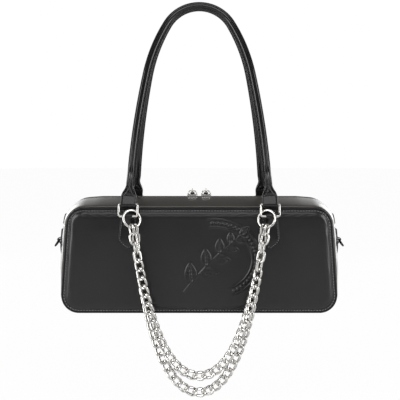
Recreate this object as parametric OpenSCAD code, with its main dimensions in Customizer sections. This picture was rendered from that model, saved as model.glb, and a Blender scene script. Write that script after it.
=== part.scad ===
// A structured handbag with two tall rolled handles, a two-way zip and a draped chain.
// It hangs by its handles. X runs to the right of the front, Y from front to back, Z up.
// The origin is the middle of the carry grip, between the tops of the two handles.

/* [Body] */
// Width of the front panel near the base
base_w = 331; // [240:1:420]
// Width of the front panel near its top
top_w = 318; // [230:1:400]
// Height of the panels
body_h = 127; // [90:1:200]
// Depth from the front to the back
body_d = 95; // [60:1:160]
// Radius of the panel corners
corner_r = 21; // [12:0.5:40]
// Thickness of the gusset and zip strip leather
leather_t = 1.8; // [1:0.1:3]
// Thickness of the panels behind their puffed field
panel_t = 2.4; // [1.5:0.1:4]
// How far the puffed field stands out of the panel
puff_h = 2.4; // [0.5:0.1:5]
// Radius of the piping round the panels
piping_r = 1.8; // [1:0.1:3]
// How far the gusset bulges half way between the panels
crown_h = 9.5; // [3:0.5:18]
// Bulge along the top edge, from its middle to the corner
crown_top_shares = [[0, 1], [0.88, 1], [1, 0.86]];
// Bulge round the top corner
crown_corner_shares = [[0, 0.86], [0.5, 0.66], [1, 0.88]];
// Bulge down the side
crown_side_shares = [[0, 0.88], [0.2, 1], [0.65, 0.95], [1, 0.5]];
// Bulge round the bottom corner
crown_foot_shares = [[0, 0.5], [0.5, 0.15], [1, 0]];

/* [Zip] */
// Half the length of the strips that open
flap_half = 122; // [80:1:132]
// Gap between an opening strip and the fixed strip beside it
flap_gap = 0.6; // [0.4:0.1:2]
// Distance of a strip's stitched edge from the zip's middle
strip_edge = 5.4; // [4:0.1:9]
// Thickness of the zip tape
tape_t = 0.7; // [0.4:0.1:1.2]
// Distance of the tape's outer edge from the zip's middle
tape_w = 11; // [8:0.5:16]
// Distance of the tape's free edge from the zip's middle
tape_edge = 1.7; // [1.5:0.1:3]
// Spacing of the teeth in one row
tooth_pitch = 5; // [3:0.1:8]
// Length of a tooth along the zip
tooth_w = 2.1; // [1:0.1:3]
// How far a tooth reaches past the zip's middle
tooth_reach = 1.2; // [0.8:0.1:2]
// Distance of a tooth's root from the zip's middle
tooth_root = 3.6; // [2.5:0.1:5]
// How far the zip runs down the side below the corner
zip_side_l = 3; // [2:1:30]

/* [Sliders] */
// Length of a slider's top plate
slider_l = 13; // [9:0.5:20]
// Width of a slider's top plate
slider_w = 9.4; // [7:0.1:14]
// Thickness of a slider's plate
slider_t = 1.4; // [1:0.1:2.5]
// Gap between the teeth and a slider's plate
slider_gap = 0.8; // [0.5:0.1:2]
// Thickness of the lip beside the front row of teeth
lip_t = 0.7; // [0.5:0.1:1.5]
// Height of the arched bridge above the plate
arch_h = 5.4; // [4:0.1:8]
// Length of the arched bridge
arch_l = 12; // [8:0.5:18]
// Width of the arched bridge
arch_w = 2.4; // [1.5:0.1:4]
// Thickness of the arched bridge
arch_t = 1.5; // [1:0.1:2.5]
// Distance of a slider's middle from the middle of the closed zip
slider_x = 8.5; // [7.5:0.5:40]
// Length of a puller
puller_l = 20; // [12:1:40]
// Width of a puller
puller_w = 6; // [4:0.5:12]
// Thickness of a puller
puller_t = 1.3; // [0.8:0.1:2.5]
// Inner radius of a puller's eye
eye_r = 1.85; // [1.6:0.05:3]
// Wire radius of a puller's eye
eye_wire_r = 0.6; // [0.4:0.05:1]
// Slope of a resting puller, degrees
puller_rest = 19; // [10:1:30]

/* [Handles] */
// Rise of a handle from its ring to its crest
handle_rise = 240; // [120:1:300]
// Half the distance between the two ends of a handle
handle_half = 84; // [50:1:120]
// Radius of the bend at the crest of a handle
crest_r = 46; // [30:1:70]
// Length of the straight part above the flare
straight_l = 40; // [30:1:60]
// Lean of the handle where the crest bend ends, degrees
shoulder_a = 31; // [20:1:45]
// Lean of the handle half way down, degrees
arm_a = 11.5; // [8:0.5:18]
// Lean of the handle just above the flare, degrees
foot_a = 4.5; // [2:0.5:7]
// Radius of a rolled handle
handle_r = 4.5; // [3:0.1:8]
// Radius of the core inside a handle
core_r = 2.9; // [1.5:0.1:6]
// Gap between the core and its cover
core_gap = 0.2; // [0.15:0.05:0.5]
// Length of the seam rings along a handle
seam_l = 1.4; // [0.8:0.1:3]
// Gap between the two handles where they meet
grip_gap = 0.6; // [0.4:0.1:4]
// Width of the flat loop at the end of a handle
loop_w = 18.4; // [12:0.1:30]
// Outer radius of the loop round the ring bar
loop_r = 3.6; // [3:0.1:6]
// Height where the flare starts above the ring bar
flare_low = 8; // [6:0.5:14]
// Height where the flare ends above the ring bar
flare_top = 23; // [16:0.5:34]

/* [Rings] */
// Wire radius of the rectangular rings
ring_wire_r = 1.4; // [1:0.1:2.5]
// Half width of a rectangular ring to the wire's middle
ring_half = 11.1; // [8:0.1:18]
// Height of a rectangular ring between its bars' middles
ring_h = 14.4; // [10:0.1:24]
// Corner radius of a rectangular ring
ring_corner_r = 2.3; // [2:0.1:5]
// Height of the rings' lower bars above the base
ring_z = 117.6; // [80:0.1:190]
// Distance of the lower bars in front of the panel edge
ring_out = 7.1; // [6:0.1:10]
// Tilt of a resting ring towards the bag, degrees
ring_tilt = 7; // [0:1:12]
// Clearance of a bar in its leather loop
bar_gap = 0.35; // [0.3:0.05:0.8]

/* [Tabs] */
// Thickness of a tab's leather plate
tab_t = 2; // [1:0.1:3]
// Half width of the neck round the ring bar
neck_half = 5; // [3:0.1:8]
// Outer radius of the neck round the ring bar
neck_r = 3; // [2.6:0.1:4]
// Half width of a tab at its shoulders
tab_top_half = 9.6; // [6:0.1:14]
// Half width of a tab at its widest
tab_half = 12.2; // [8:0.1:18]
// Drop of the shoulders below the ring bar
tab_shoulder = 3.4; // [2:0.1:8]
// Drop of the widest part below the ring bar
tab_wide = 27; // [15:0.5:40]
// Drop of the point below the ring bar
tab_tip = 39.6; // [25:0.5:60]

/* [Round rings and chain] */
// Radius of a round ring to the wire's middle
round_r = 10.6; // [8:0.1:16]
// Wire radius of a round ring
round_wire_r = 1.6; // [1:0.1:2.5]
// Offset of a round ring from its rectangular ring, inwards
round_in = 4.66; // [4:0.01:6]
// Offset of a round ring's middle below the ring bar
round_down = 2.64; // [1:0.01:5]
// Offset of a round ring's middle in front of the ring bar
round_out = 2.28; // [1:0.01:4]
// Turn of a round ring about the vertical, degrees
round_yaw = 28.8; // [20:0.1:36]
// Tilt of a round ring, degrees
round_pitch = 21.9; // [15:0.1:30]
// Angle from a round ring's lowest point to a chain's end link, degrees
hook_a = 12.5; // [12:0.5:28]
// Gap between a round ring's wire and the end of a chain's first link
hook_play = 0.95; // [0.3:0.05:1.5]
// Spacing of the chain's links
link_pitch = 10.55; // [8:0.1:16]
// Wire diameter of the chain
link_wire = 2.6; // [1.6:0.1:4]
// Outer width of a link
link_w = 10.8; // [8:0.1:16]
// Play between neighbouring links
link_play = 0.35; // [0.3:0.05:0.6]
// Links in the shorter strand
short_links = 39; // [20:1:60]
// Links in the longer strand
long_links = 43; // [20:1:60]
// Distance of the longer strand from the panel edge
long_out = 8.3; // [6:0.1:12]
// Distance of the shorter strand in front of the longer one
strand_gap = 9.8; // [9.4:0.1:16]
// How far each end link has left the round ring, from the end inwards
spread_shares = [[0, 0.23], [1, 0.72], [2, 1]];
// How far each end link has come to the line that both strands share in front view
meet_shares = [[0, 0.03], [1, 0.33], [2, 0.89], [4, 1]];
// Share of a strand's own direction that is level near the rings
level_share = 0.16; // [0:0.01:0.4]
// Turn of the longer strand's first links about the strand, degrees
long_rolls = [48, -30, 41, -40, 43, -48];
// Turn of the shorter strand's first links about the strand, degrees
short_rolls = [50, -20, 61, -29, 47, -49];
// Turn of the other links about the strand, to one side and the other, degrees
link_roll = 45; // [35:1:45]

/* [Side rings] */
// Height of a side ring's bar above the base
side_z = 82; // [50:1:120]
// Half width of a side tab
side_half = 10; // [6:0.5:16]
// Height of a side tab above its bar
side_up = 15; // [8:0.5:30]
// Drop of a side tab's point below its bar
side_down = 18; // [10:0.5:30]
// Outer radius of the loop round a side ring's bar
side_loop_r = 2.7; // [2.2:0.1:4]
// Half width of the loop round a side ring's bar
side_loop_half = 3.2; // [2:0.1:6]
// Wire radius of a side ring
side_wire_r = 1.1; // [0.8:0.1:2]
// Half width of a side ring
side_ring_half = 6; // [5:0.1:10]
// Drop of a side ring
side_ring_h = 9; // [6:0.1:14]
// Corner radius of a side ring
side_ring_corner = 3.6; // [2:0.1:5]
// Angle of a side ring at rest, out from its side, degrees
side_rest = 29.6; // [20:0.1:60]

/* [Inside] */
// Thickness of the lining
lining_t = 1; // [0.6:0.1:2]
// Distance of the lining from the panels' outline
lining_in = 5; // [4:0.5:10]
// Height of the lining's mouth below the top edge
lining_drop = 8; // [6:0.5:20]
// Thickness of the stiffeners behind the panels
stiff_t = 1.2; // [0.8:0.1:2]
// Thickness of the base board
board_t = 2.2; // [1:0.1:4]
// Width of the slip pocket
pocket_w = 150; // [80:1:220]
// Height of the slip pocket
pocket_h = 72; // [40:1:90]
// Depth of the slip pocket's opening
pocket_gap = 4.5; // [3:0.1:10]

/* [Hidden] */
// facets of a full turn on exact round shapes
round_fn = 48;
// steps in a corner of a faceted sheet
corner_steps = 8;
half_d = body_d/2;
top_cx = top_w/2 - corner_r;
base_cx = base_w/2 - corner_r;
side_a = atan2(base_cx - top_cx, body_h - 2*corner_r);
top_len = top_cx;
corner_len = corner_r*(90 - side_a)*PI/180;
side_len = norm([base_cx - top_cx, body_h - 2*corner_r]);
foot_len = corner_r*(90 + side_a)*PI/180;
side_s = top_len + corner_len;
foot_s = side_s + side_len;
base_s = foot_s + foot_len;
half_s = base_s + base_cx;
zip_s = side_s + zip_side_l;
panel_in_share = 1;
panel_in = 2*piping_r*panel_in_share;
face_in_share = 0.33;
face_y = half_d - piping_r*face_in_share;
gusset_y = half_d - panel_in;
hinge_gap_share = 0.6;
flap_y = half_d - 2*piping_r - piping_r*hinge_gap_share;
hinge_in_share = 0.3;
hinge_y = flap_y - leather_t*hinge_in_share;
ridge_z = body_h + crown_h;
hinge_z = body_h + crown_h*(1 - pow(hinge_y/half_d, 2)) - leather_t/2;
low_y = half_d + ring_out;
high_y = low_y - ring_h*sin(ring_tilt);
high_z = ring_z + ring_h*cos(ring_tilt);
grip_z = high_z + handle_rise;
handle_in = high_y - handle_r - grip_gap/2;
plane_rise = norm([handle_rise, handle_in]);
handle_lean = atan2(handle_in, handle_rise);
crest_v = plane_rise - crest_r;
shoulder_u = crest_r*cos(shoulder_a);
shoulder_v = crest_v + crest_r*sin(shoulder_a);
foot_v = straight_l*cos(foot_a);
foot_u = handle_half - straight_l*sin(foot_a);
need_u = foot_u - shoulder_u;
need_v = shoulder_v - foot_v;
arm_cos = cos(arm_a) - cos(shoulder_a);
arm_sin = sin(shoulder_a) - sin(arm_a);
low_cos = cos(foot_a) - cos(arm_a);
low_sin = sin(arm_a) - sin(foot_a);
arm_det = arm_cos*low_sin - low_cos*arm_sin;
arm_r = (need_u*low_sin - low_cos*need_v)/arm_det;
low_r = (arm_cos*need_v - arm_sin*need_u)/arm_det;
arm_u = shoulder_u + arm_r*arm_cos;
arm_v = shoulder_v - arm_r*arm_sin;
tab_y = face_y + puff_h;
slider_z = ridge_z + slider_gap + tape_t/2;
arch_z = slider_z + slider_t + arch_h - arch_t/2;
link_in = link_pitch + link_play;
link_end_r = (link_w - link_wire)/2;
link_straight = link_in + link_wire - 2*link_end_r;
hook_l = link_in/2 - round_wire_r - hook_play;
round_c = [-handle_half + round_in, -low_y - round_out, ring_z - round_down];
round_n = [sin(round_yaw)*cos(round_pitch), -cos(round_yaw)*cos(round_pitch), sin(round_pitch)];
round_up = ([0, 0, 1] - round_n*round_n[2])/norm([0, 0, 1] - round_n*round_n[2]);
round_side = cross(round_up, round_n);
long_hook = hook(hook_a);
short_hook = hook(-hook_a);
shared_x = (long_hook[0] + short_hook[0])/2;
long_y = -half_d - long_out;
short_y = long_y - strand_gap;
side_lift_share = 0.08;
side_x = outline(side_s + (body_h - corner_r - side_z)/cos(side_a))[0] + crown_h + leather_t*side_lift_share;

// The panel's outline, walked clockwise from the middle of its top edge: x, z, angle of the normal, bulge.
function span(a, b, n) = [for (i = [0:n]) a + (b - a)*i/n];
function arc_point(cx, cz, a, g) = [cx + corner_r*cos(a), cz + corner_r*sin(a), a, g];
function walk(s) =
    s < top_len ? [s, body_h, 90, lookup(s/top_len, crown_top_shares)]
    : s < side_s ? let (u = (s - top_len)/corner_len)
        arc_point(top_cx, body_h - corner_r, 90 - u*(90 - side_a), lookup(u, crown_corner_shares))
    : s < foot_s ? let (u = (s - side_s)/side_len)
        [top_cx + corner_r*cos(side_a) + u*(base_cx - top_cx),
         body_h - corner_r + corner_r*sin(side_a) - u*side_len*cos(side_a),
         side_a, lookup(u, crown_side_shares)]
    : s < base_s ? let (u = (s - foot_s)/foot_len)
        arc_point(base_cx, corner_r, side_a - u*(90 + side_a), lookup(u, crown_foot_shares))
    : [half_s - s, 0, -90, 0];
function flip(p) = [-p[0], p[1], 180 - p[2], p[3]];
function outline(s) = s < 0 ? flip(walk(-s)) : s > half_s ? flip(walk(2*half_s - s)) : walk(s);
function skin(s, y, o) =
    let (p = outline(s), d = p[3]*crown_h*(1 - pow(y/half_d, 2)) + o)
    [p[0] + d*cos(p[2]), y, p[1] + d*sin(p[2])];

// A sheet that follows the bulging gusset: stations along the outline, stations in depth, lift and thickness.
module band(ss, ys, lift, t) {
    ns = len(ss);
    ny = len(ys);
    top = [for (s = ss) for (y = ys) skin(s, y, lift)];
    low = [for (s = ss) for (y = ys) skin(s, y, lift - t)];
    m = ns*ny;
    skins = [for (i = [0:ns - 2]) for (j = [0:ny - 2])
        let (a = i*ny + j, b = a + ny, c = b + 1, d = a + 1)
        each [[a, d, c], [a, c, b], [m + a, m + c, m + d], [m + a, m + b, m + c]]];
    front = [for (i = [0:ns - 2]) let (a = i*ny, b = a + ny) each [[a, b, m + b], [a, m + b, m + a]]];
    back = [for (i = [0:ns - 2]) let (a = i*ny + ny - 1, b = a + ny) each [[b, a, m + a], [b, m + a, m + b]]];
    start = [for (j = [0:ny - 2]) each [[j + 1, j, m + j], [j + 1, m + j, m + j + 1]]];
    e = (ns - 1)*ny;
    end = [for (j = [0:ny - 2]) each [[e + j, e + j + 1, m + e + j + 1], [e + j, m + e + j + 1, m + e + j]]];
    polyhedron(concat(top, low), concat(skins, front, back, start, end));
}

// Points of the panel's outline moved inwards.
function corner_pts(cx, cz, r, a0, a1) = [for (a = span(a0, a1, corner_steps)) [cx + r*cos(a), cz + r*sin(a)]];
function inset_pts(d) = let (r = corner_r - d, h = body_h - corner_r) concat(
    corner_pts(top_cx, h, r, 90, side_a), corner_pts(base_cx, corner_r, r, side_a, -90),
    corner_pts(-base_cx, corner_r, r, -90, -180 - side_a), corner_pts(-top_cx, h, r, -180 - side_a, -270));

module outline2d(d) {
    polygon(inset_pts(d));
}

// A slab of the panel's outline between two depths.
module slab(d, y0, y1) {
    translate([0, y1, 0]) rotate([90, 0, 0]) linear_extrude(height = y1 - y0) outline2d(d);
}

// Front panel: an edge band, a stitched groove and a puffed field.
puff_in_shares = [0, 1.49, 1.86, 2.85, 4.34, 6.2];
puff_out_shares = [0, 0.08, -0.04, 0.6, 0.92, 1];
puff_rings = concat([[panel_in, -panel_t]], [for (i = [0:len(puff_in_shares) - 1])
    [panel_in + puff_in_shares[i]*piping_r, puff_out_shares[i]*puff_h]]);
module panel() {
    loops = [for (r = puff_rings) [for (p = inset_pts(r[0])) [p[0], -face_y - r[1], p[1]]]];
    n = len(loops[0]);
    last = len(loops) - 1;
    pts = [for (l = loops) each l];
    sides = [for (k = [0:last - 1]) for (i = [0:n - 1])
        let (a = k*n + i, b = k*n + (i + 1)%n, c = b + n, d = a + n) each [[a, b, c], [a, c, d]]];
    polyhedron(pts, concat(sides, [[for (i = [0:n - 1]) last*n + i]], [[for (i = [n - 1:-1:0]) i]]));
}

// Round wire pieces, all exact.
module rod(p, l, r) {
    translate(p) rotate([0, 90, 0]) cylinder(h = l, r = r, center = true, $fn = round_fn);
}
module bend(c, r, a0, a1, outer, inner) {
    translate([c[0], 0, c[1]]) rotate([90, 0, 0]) rotate([0, 0, a0])
        rotate_extrude(angle = a1 - a0, $fn = round_fn) translate([r, 0]) difference() {
            circle(r = outer, $fn = round_fn);
            if (inner > 0) circle(r = inner, $fn = round_fn);
        }
}
module tube(p, a, l, outer, inner) {
    translate([p[0], 0, p[1]]) rotate([0, a, 0]) difference() {
        cylinder(h = l, r = outer, $fn = round_fn);
        if (inner > 0) cylinder(h = l, r = inner, $fn = round_fn);
    }
}
// A rounded rectangular ring in the X-Z plane, its lower bar on the X axis.
module wire_ring(half, h, cr, wr) {
    for (z = [0, h]) rod([0, 0, z], 2*(half - cr), wr);
    for (sx = [-1, 1]) tube([sx*half, cr], 0, h - 2*cr, wr, 0);
    bend([half - cr, cr], cr, -90, 0, wr, 0);
    bend([half - cr, h - cr], cr, 0, 90, wr, 0);
    bend([-half + cr, h - cr], cr, 90, 180, wr, 0);
    bend([-half + cr, cr], cr, 180, 270, wr, 0);
}
// The straight runs are a touch thinner than the bends and end inside them.
run_r_share = 0.97;
run_lap_share = 0.35;
module piping() {
    r = corner_r - piping_r;
    run_r = piping_r*run_r_share;
    lap = piping_r*run_lap_share;
    side = [base_cx + r*cos(side_a) + lap*sin(side_a), corner_r + r*sin(side_a) - lap*cos(side_a)];
    translate([0, -half_d + piping_r, 0]) {
        rod([0, 0, body_h - piping_r], 2*(top_cx + lap), run_r);
        rod([0, 0, piping_r], 2*(base_cx + lap), run_r);
        for (sx = [0, 1]) mirror([sx, 0, 0]) {
            bend([top_cx, body_h - corner_r], r, side_a, 90, piping_r, 0);
            bend([base_cx, corner_r], r, -90, side_a, piping_r, 0);
            tube(side, -side_a, side_len + 2*lap, run_r, 0);
        }
    }
}

// Gusset, strips and tapes.
side_stations = concat(span(zip_s, foot_s, 8), span(foot_s, base_s, corner_steps), [half_s]);
all_stations = concat(side_stations, [for (i = [len(side_stations) - 2:-1:0]) 2*half_s - side_stations[i]]);
sliver_share = 0.1;
tape_under_share = 1/6;
sliver = flap_gap*sliver_share;
tape_lift = -leather_t - tape_t*tape_under_share;
fold_s = flap_half + flap_gap;
end_stations = concat(span(fold_s, top_len, 2), span(top_len, side_s, 12), span(side_s, zip_s - sliver, 2));
end_list = [for (i = [0:len(end_stations) - 1])
    if (i == 0 || end_stations[i] - end_stations[max(i - 1, 0)] > sliver) end_stations[i]];
flap_stations = span(-flap_half, flap_half, 20);
module both_ends() {
    children();
    mirror([1, 0, 0]) children();
}
module back() {
    mirror([0, 1, 0]) children();
}
module lower_gusset() {
    band(all_stations, span(-gusset_y, gusset_y, 12), 0, leather_t);
}
module corner_strips() {
    both_ends() band(end_list, span(-gusset_y, -strip_edge, 6), 0, leather_t);
}
module zip_strip() {
    band(flap_stations, span(-flap_y, -strip_edge, 6), 0, leather_t);
}
module zip_tape() {
    band(flap_stations, span(-tape_w, -tape_edge, 2), tape_lift, tape_t);
}
module end_tapes() {
    both_ends() band(end_list, span(-tape_w, tape_w, 6), tape_lift, tape_t);
}
module tooth(s, back_row) {
    p = outline(s);
    d = p[3]*crown_h;
    sy = back_row ? -1 : 1;
    translate([p[0] + d*cos(p[2]), 0, p[1] + d*sin(p[2])]) rotate([0, 90 - p[2], 0]) scale([1, sy, 1])
        translate([-tooth_w/2, -tooth_root, -leather_t])
            cube([tooth_w, tooth_root + tooth_reach, leather_t + tape_t/2]);
}
row_n = floor((flap_half - tooth_w)/tooth_pitch);
module teeth_row(back_row) {
    shift = back_row ? tooth_pitch/2 : 0;
    for (i = [-row_n:row_n - 1]) tooth(i*tooth_pitch + tooth_pitch/4 + shift, back_row);
}
tip_share = 5;
tip_over_share = 1/3;
tip_t_share = 0.9;
end_tooth_shares = [0.4, 0.9];
tip_l = leather_t*tip_share;
tip_half = strip_edge + 2*tape_t;
end_n = floor((zip_s - tip_l - fold_s - tooth_pitch)/tooth_pitch);
module end_teeth() {
    both_ends() for (i = [0:end_n]) {
        tooth(fold_s + tooth_pitch*(i + end_tooth_shares[0]), false);
        tooth(fold_s + tooth_pitch*(i + end_tooth_shares[1]), true);
    }
}
// A folded leather tip over each end of the zip.
module zip_ends() {
    both_ends() band(span(zip_s - tip_l, zip_s + tip_l*tip_over_share, 4), span(-tip_half, tip_half, 2),
                     leather_t*tip_t_share, leather_t*tip_t_share);
}

// Sliders ride on the front row and never grip the back one.
module slider() {
    lip_z = ridge_z - leather_t/2;
    inner_h = arch_h + slider_t/2;
    translate([-slider_l/2, -slider_w/2, slider_z]) cube([slider_l, slider_w, slider_t]);
    translate([-slider_l/2, -slider_w/2, lip_z]) cube([slider_l, lip_t, slider_z - lip_z + slider_t/2]);
    translate([0, arch_w/2, slider_z + slider_t/2]) rotate([90, 0, 0]) linear_extrude(height = arch_w)
        difference() {
            arch2d(arch_l, inner_h);
            arch2d(arch_l - 2*arch_t, inner_h - arch_t);
        }
}
arch_round_share = 0.62;
module arch2d(w, h) {
    r = h*arch_round_share;
    translate([-w/2, 0]) square([w, h - r]);
    translate([-w/2 + r, 0]) square([w - 2*r, h]);
    for (sx = [-1, 1]) translate([sx*(w/2 - r), h - r]) circle(r = r, $fn = round_fn);
}
hole_in_share = 0.33;
hole_r_share = 0.2;
module puller() {
    translate([0, 0, arch_z]) rotate([-puller_rest, 0, 0]) {
        rotate([0, 90, 0]) rotate_extrude($fn = round_fn) translate([eye_r + eye_wire_r, 0])
            circle(r = eye_wire_r, $fn = round_fn);
        difference() {
            translate([-puller_w/2, eye_r + eye_wire_r, -puller_t/2]) cube([puller_w, puller_l, puller_t]);
            translate([0, eye_r + puller_l - puller_w*hole_in_share, -puller_t])
                cylinder(h = 2*puller_t, r = puller_w*hole_r_share, $fn = round_fn);
        }
    }
}

// Handles are drawn in their own plane, then leaned inwards about the rings' upper bars.
seat_share = 0.09;
seam_step_share = 0.25;
module handle_path(outer, inner) {
    bend([0, crest_v], crest_r, shoulder_a, 180 - shoulder_a, outer, inner);
    for (sx = [0, 1]) mirror([sx, 0, 0]) {
        bend([shoulder_u - arm_r*cos(shoulder_a), shoulder_v - arm_r*sin(shoulder_a)],
             arm_r, arm_a, shoulder_a, outer, inner);
        bend([arm_u - low_r*cos(arm_a), arm_v - low_r*sin(arm_a)], low_r, foot_a, arm_a, outer, inner);
        rest = straight_l - flare_top - handle_r*seat_share;
        tube([foot_u + rest*sin(foot_a), foot_v - rest*cos(foot_a)], -foot_a, rest, outer, inner);
        seam(shoulder_u, shoulder_v, shoulder_a, outer, inner);
        seam(arm_u, arm_v, arm_a, outer, inner);
        seam(foot_u, foot_v, foot_a, outer, inner);
    }
}
// A narrow ring that closes over the joint of two arcs.
module seam(u, v, a, outer, inner) {
    translate([u, 0, v]) rotate([0, -a, 0]) difference() {
        cylinder(h = seam_l, r = outer + core_gap*seam_step_share, center = true, $fn = round_fn);
        if (inner > 0)
            cylinder(h = 2*seam_l, r = inner - core_gap*seam_step_share, center = true, $fn = round_fn);
    }
}
module leaned() {
    translate([0, -high_y, high_z]) rotate([-handle_lean, 0, 0]) children();
}
flare_n = 28;
flare_steps = 7;
flare_square = 5;
function ease(t) = t*t*(3 - 2*t);
function flare_ring(t) = let (
        v = flare_low + (flare_top - flare_low)*t, w = 1 - ease(t), p = 2 + flare_square*w*w,
        a = handle_r + (loop_w/2 - handle_r)*w, b = handle_r + (loop_r - handle_r)*w,
        u = handle_half - v*tan(foot_a))
    [for (i = [0:flare_n - 1]) let (q = 360*i/flare_n, c = cos(q), s = sin(q))
        [u + a*sign(c)*pow(abs(c), 2/p), b*sign(s)*pow(abs(s), 2/p), v]];
module flares() {
    rings = [for (k = [0:flare_steps]) flare_ring(k/flare_steps)];
    pts = [for (r = rings) each r];
    sides = [for (k = [0:flare_steps - 1]) for (i = [0:flare_n - 1])
        let (a = k*flare_n + i, b = k*flare_n + (i + 1)%flare_n, c = b + flare_n, d = a + flare_n)
        each [[a, c, b], [a, d, c]]];
    caps = [[for (i = [0:flare_n - 1]) i], [for (i = [flare_n - 1:-1:0]) flare_steps*flare_n + i]];
    both_ends() polyhedron(pts, concat(sides, caps));
}
module loops() {
    both_ends() translate([handle_half, 0, 0]) difference() {
        union() {
            rod([0, 0, 0], loop_w, loop_r);
            translate([-loop_w/2, -loop_r, 0]) cube([loop_w, 2*loop_r, flare_low]);
        }
        rod([0, 0, 0], 2*loop_w, ring_wire_r + bar_gap);
    }
}
module bar_ring(sx) {
    translate([sx*handle_half, -low_y, ring_z]) rotate([-ring_tilt, 0, 0])
        wire_ring(ring_half, ring_h, ring_corner_r, ring_wire_r);
}
tab_point_shares = [0.55, 0.9];
tab_pts = [[-neck_half, 0], [neck_half, 0], [tab_top_half, -tab_shoulder], [tab_half, -tab_wide],
           [tab_half*tab_point_shares[0], -tab_tip*tab_point_shares[1]], [0, -tab_tip],
           [-tab_half*tab_point_shares[0], -tab_tip*tab_point_shares[1]], [-tab_half, -tab_wide],
           [-tab_top_half, -tab_shoulder]];
module tab(sx) {
    translate([sx*handle_half, 0, ring_z]) difference() {
        union() {
            translate([0, -tab_y, 0]) rotate([90, 0, 0]) linear_extrude(height = tab_t) polygon(tab_pts);
            rod([0, -low_y, 0], 2*neck_half, neck_r);
            translate([-neck_half, -low_y, -2*neck_r]) cube([2*neck_half, low_y - tab_y, 2*neck_r]);
        }
        rod([0, -low_y, 0], 3*neck_half, ring_wire_r + bar_gap);
    }
}

// The round rings hook the inner lower corners of the front rings.
function hook(a) = round_c + round_r*(sin(a)*round_side - cos(a)*round_up);
module round_ring() {
    translate(round_c) rotate([0, 0, round_yaw]) rotate([90 - round_pitch, 0, 0])
        rotate_extrude($fn = round_fn) translate([round_r, 0]) circle(r = round_wire_r, $fn = round_fn);
}

// Each strand hangs as a catenary between points midway between the hooks. Its end links leave that
// line for their own hook, and the step along the catenary is what keeps their pitch.
function sinh(x) = (exp(x) - exp(-x))/2;
function asinh(x) = ln(x + sqrt(x*x + 1));
function solve_a(x, s, lo, hi, n) = n == 0 ? (lo + hi)/2
    : let (m = (lo + hi)/2) m*sinh(x/m) > s ? solve_a(x, s, m, hi, n - 1) : solve_a(x, s, lo, m, n - 1);
function spread(m, most, y0, y1) = y0 + (y1 - y0)*lookup(most - m, spread_shares);
function aside(m, most, x) = (x - shared_x)*(1 - lookup(most - m, meet_shares));
function steps(m, most, s, h, y1) = m > most - 1/2 ? [s]
    : let (dy = spread(m + 1, most, h[1], y1) - spread(m, most, h[1], y1),
           dx = aside(m + 1, most, h[0]) - aside(m, most, h[0]),
           ds = sqrt(link_pitch*link_pitch - dy*dy - dx*dx) + dx*level_share)
      concat([s], steps(m + 1, most, s + ds, h, y1));
function unit(v) = v/norm(v);
module link(p, ax, roll) {
    h = unit(cross([0, 1, 0], ax));
    l = cos(roll)*h + sin(roll)*[0, 1, 0];
    lat = unit(l - ax*(l*ax));
    n = cross(ax, lat);
    multmatrix([[ax[0], n[0], lat[0], p[0]], [ax[1], n[1], lat[1], p[1]], [ax[2], n[2], lat[2], p[2]]]) {
        for (sz = [-1, 1]) rod([0, 0, sz*link_end_r], link_straight, link_wire/2);
        bend([link_straight/2, 0], link_end_r, -90, 90, link_wire/2, 0);
        bend([-link_straight/2, 0], link_end_r, 90, 270, link_wire/2, 0);
    }
}
module strand(n, h, y1, rolls) {
    most = (n - 1)/2;
    start = n%2 == 1 ? 0 : 0.5;
    ss = steps(start, most, start*link_pitch, h, y1);
    full = ss[len(ss) - 1] + hook_l;
    a = solve_a(-shared_x, full, -shared_x/12, -shared_x*4, 50);
    low = h[2] - sqrt(a*a + full*full) + a;
    pts = [for (k = [0:n - 1]) let (m = k - most, s = sign(m)*ss[round(abs(m) - start)])
        [a*asinh(s/a) - sign(m)*aside(abs(m), most, h[0]), spread(abs(m), most, h[1], y1),
         low + sqrt(a*a + s*s) - a]];
    ends = concat([h], pts, [[-h[0], h[1], h[2]]]);
    for (k = [0:n - 1]) {
        edge = min(k, n - 1 - k);
        sg = k%2 == 0 ? 1 : -1;
        roll = edge < len(rolls) ? rolls[edge] : sg*link_roll;
        ax = unit(ends[k + 2] - ends[k]);
        link(pts[k], ax, roll);
    }
}

// Side tabs with their small rings.
module side_frame() {
    translate([side_x, 0, side_z]) rotate([0, -side_a, 0]) children();
}
side_bar = leather_t + side_loop_r;
side_tab_shares = [0.8, 0.8, 0.3];
side_tab_pts = [[-side_half*side_tab_shares[0], side_up], [side_half*side_tab_shares[0], side_up],
                [side_half, side_up*side_tab_shares[1]], [side_half, -side_down*side_tab_shares[2]],
                [0, -side_down], [-side_half, -side_down*side_tab_shares[2]],
                [-side_half, side_up*side_tab_shares[1]]];
module side_tab() {
    side_frame() difference() {
        union() {
            rotate([90, 0, 90]) linear_extrude(height = leather_t) polygon(side_tab_pts);
            translate([side_bar, 0, 0]) rotate([90, 0, 0])
                cylinder(h = 2*side_loop_half, r = side_loop_r, center = true, $fn = round_fn);
            translate([0, -side_loop_half, -side_loop_r]) cube([side_bar, 2*side_loop_half, 2*side_loop_r]);
        }
        translate([side_bar, 0, 0]) rotate([90, 0, 0])
            cylinder(h = 4*side_loop_half, r = side_wire_r + bar_gap, center = true, $fn = round_fn);
    }
}
module side_ring() {
    side_frame() translate([side_bar, 0, 0]) rotate([0, -side_rest, 0]) rotate([0, 180, 0])
        rotate([0, 0, 90]) wire_ring(side_ring_half, side_ring_h, side_ring_corner, side_wire_r);
}

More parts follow.
